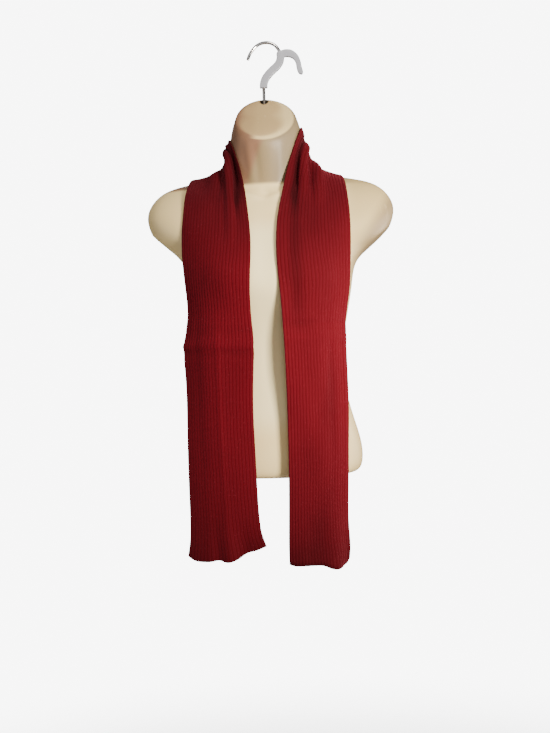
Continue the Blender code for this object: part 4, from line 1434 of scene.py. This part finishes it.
    def build(self, finish: Material) -> Piece:
        """Models the scarf and returns it."""
        points, along, shade = self.knitted()
        rows, columns = points.shape[:2]
        cuts = {"x_subdivisions": columns - 1, "y_subdivisions": rows - 1}
        piece = add_object(bpy.ops.mesh.primitive_grid_add, "ribbed_scarf", size=1.0, **cuts)
        mesh = piece.data
        flat = np.empty(rows * columns * 3)
        mesh.vertices.foreach_get("co", flat)
        order = np.argsort(np.lexsort(flat.reshape(-1, 3)[:, :2].round(6).T))  # each point's place in the grid
        mesh.vertices.foreach_set("co", (points.reshape(-1, 3) * MM)[order].ravel())
        across, down = np.meshgrid(np.linspace(0, 1, columns), along)
        cloth_map = np.stack([across.ravel(), down.ravel()], axis=1)[order]
        corners = np.empty(len(mesh.loops), int)
        mesh.loops.foreach_get("vertex_index", corners)
        mesh.uv_layers.active.data.foreach_set("uv", cloth_map[corners].ravel())
        weights = self.wall_weights(rows, columns).ravel()[order].round(3)
        group = piece.vertex_groups.new(name="wall")
        for share in np.unique(weights):
            group.add(np.flatnonzero(weights == share).tolist(), float(share), "REPLACE")
        mesh.attributes.new("shade", "FLOAT", "POINT").data.foreach_set("value", shade.ravel()[order])
        mesh.update()
        self.face_outward(piece)
        rim = {"use_rim": True, "vertex_group": "wall"}
        finish_modifier(piece, "SOLIDIFY", "Wall", thickness=self.wall * MM, offset=0.0, **rim)
        smooth_shading(piece)
        dress(piece, finish, Slot.KNIT, "scarf_tail_right", "scarf_neck", "scarf_tail_left")
        return piece

    def face_outward(self, piece: Piece) -> None:
        """Turns the cloth's faces so that they point away from the form."""
        middle = piece.data.polygons[len(piece.data.polygons) // 8]
        if middle.normal.y > 0:
            work_on(piece)
            set_mode("EDIT")
            bpy.ops.mesh.select_all(action="SELECT")
            bpy.ops.mesh.flip_normals()
            set_mode("OBJECT")


# --- The studio -----------------------------------------------------------------------------------


class Lamp(NamedTuple):
    """A soft square lamp: its place and aim in metres, side, watts and colour."""

    name: str
    place: tuple[float, float, float]
    aim: tuple[float, float, float]
    side: float
    watts: float
    colour: Colour


LAMPS = rows_of(
    Lamp,
    ("key", (0.58, -0.84, -0.34), (0.0, -0.05, -0.42), 0.24, 24.0, (1.0, 0.94, 0.84)),
    ("side", (1.25, 0.30, -0.60), (0.1, 0.0, -0.60), 0.6, 15.0, (1.0, 0.94, 0.86)),
    ("top", (0.10, -0.70, 0.55), (0.0, -0.05, -0.20), 0.20, 4.0, (1.0, 0.96, 0.90)),
    ("fill", (-1.9, -0.30, -0.3), (0.0, 0.0, -0.45), 1.0, 5.5, (1.0, 0.97, 0.94)),
    ("rear", (-0.6, 1.9, 0.6), (0.0, 0.0, -0.4), 1.4, 6.0, (1.0, 1.0, 1.0)),
)


@dataclass
class Studio:
    """The camera, the soft lamps, the pale floor and the white surround."""

    camera_place: tuple[float, float, float] = (110.0, -1500.0, -533.4)
    camera_aim: tuple[float, float, float] = (2.0, 0.0, -533.4)
    camera_roll: float = radians(1.7)
    lens: float = 44.64
    sensor: float = 36.0
    floor_z: float = -2.0  # metres
    floor_radius: float = 3.0
    backdrop: float = 8.0
    low_light: Colour = (0.12, 0.11, 0.10)
    high_light: Colour = (0.62, 0.60, 0.58)
    rear_dimming: float = 0.85
    front_shine: float = 0.9  # what glossy surfaces show of the room before them
    side_shine: float = 0.05
    sky_rise: tuple[float, float] = (-0.4, 0.8)  # where the light from around goes from low to high
    rear_rise: tuple[float, float] = (-0.2, 0.6)  # where it dims, toward the rear
    shine_rise: tuple[float, float] = (-0.92, -0.45)  # where the shine goes from front to side

    def add_camera(self) -> None:
        """Places the level camera, with its slight roll."""
        place, aim = Vector(self.camera_place), Vector(self.camera_aim)
        ahead = (aim - place).normalized()
        right = ahead.cross(Vector((0, 0, 1))).normalized()
        up = right.cross(ahead)
        turned_right = right * cos(self.camera_roll) - up * sin(self.camera_roll)
        turned_up = right * sin(self.camera_roll) + up * cos(self.camera_roll)
        matrix = Matrix(list(zip(turned_right, turned_up, -ahead))).to_4x4()
        matrix.translation = place * MM
        camera = add_object(bpy.ops.object.camera_add)
        camera.matrix_world = matrix
        camera.data.lens, camera.data.sensor_width, camera.data.clip_start = self.lens, self.sensor, 0.01
        bpy.context.scene.camera = camera

    def add_lamps(self) -> None:
        """Hangs the soft lamps."""
        for lamp in LAMPS:
            made = add_object(bpy.ops.object.light_add, lamp.name, type="AREA", location=lamp.place)
            made.data.size, made.data.energy, made.data.color = lamp.side, lamp.watts, lamp.colour
            made.rotation_euler = (Vector(lamp.aim) - Vector(lamp.place)).to_track_quat("-Z", "Y").to_euler()

    def add_surround(self) -> None:
        """Makes the surround: white behind everything, and a dimmer sky-like light on the object."""
        world = bpy.data.worlds.new("surround")
        bpy.context.scene.world = world
        world.use_nodes = True
        sheet = NodeSheet(world.node_tree)
        world.node_tree.nodes.clear()
        _, ahead, up = sheet.axes(sheet.add("ShaderNodeTexCoord").outputs["Generated"])
        lit = sheet.mix(sheet.spread(up, *self.sky_rise), self.low_light, self.high_light)
        behind = sheet.spread(ahead, *self.rear_rise, 0.0, self.rear_dimming)
        dim, shine, white = (sheet.add("ShaderNodeBackground") for _ in range(3))
        sheet.fit(dim, Color=sheet.mix(behind, lit, (0.0, 0.0, 0.0)))
        sheet.fit(shine, Strength=sheet.spread(ahead, *self.shine_rise, self.front_shine, self.side_shine))
        sheet.fit(white, Color=(self.backdrop, self.backdrop, self.backdrop))
        rays = sheet.add("ShaderNodeLightPath").outputs
        light = dim.outputs[0]
        for kind, seen in (("Is Glossy Ray", shine), ("Is Camera Ray", white)):
            chosen = sheet.add("ShaderNodeMixShader")
            for number, value in enumerate((rays[kind], light, seen.outputs[0])):
                sheet.feed(chosen.inputs[number], value)
            light = chosen.outputs[0]
        sheet.fit(sheet.add("ShaderNodeOutputWorld"), Surface=light)

    def add_floor(self, finish: Material) -> None:
        """Lays the round floor well below the hanging form."""
        disc = {"vertices": 96, "radius": self.floor_radius, "fill_type": "TRIFAN"}
        place = (0.0, 0.0, self.floor_z)
        floor = add_object(bpy.ops.mesh.primitive_circle_add, "floor", location=place, **disc)
        floor.data.materials.append(finish)


# --- The whole ------------------------------------------------------------------------------------


def write_sizes() -> None:
    """Brings the view layer up to date."""
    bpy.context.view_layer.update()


def main() -> None:
    """Builds the studio, the form, the hook and the scarf."""
    mottle, knit = mottle_group(), knit_group()
    studio = Studio()
    studio.add_camera()
    studio.add_lamps()
    studio.add_surround()
    studio.add_floor(FloorFinish().material(mottle))

    form = TorsoForm().build(CREAM.material(mottle))
    hook = Hook()
    hook.add_wire(CHROME.material(mottle))
    hook.add_sleeve(PALE.material(mottle))
    hook.add_socket(DARK_STEEL.material(mottle))

    Scarf(form).build(KnitFinish().material(knit))
    write_sizes()


if __name__ == "__main__":
    main()
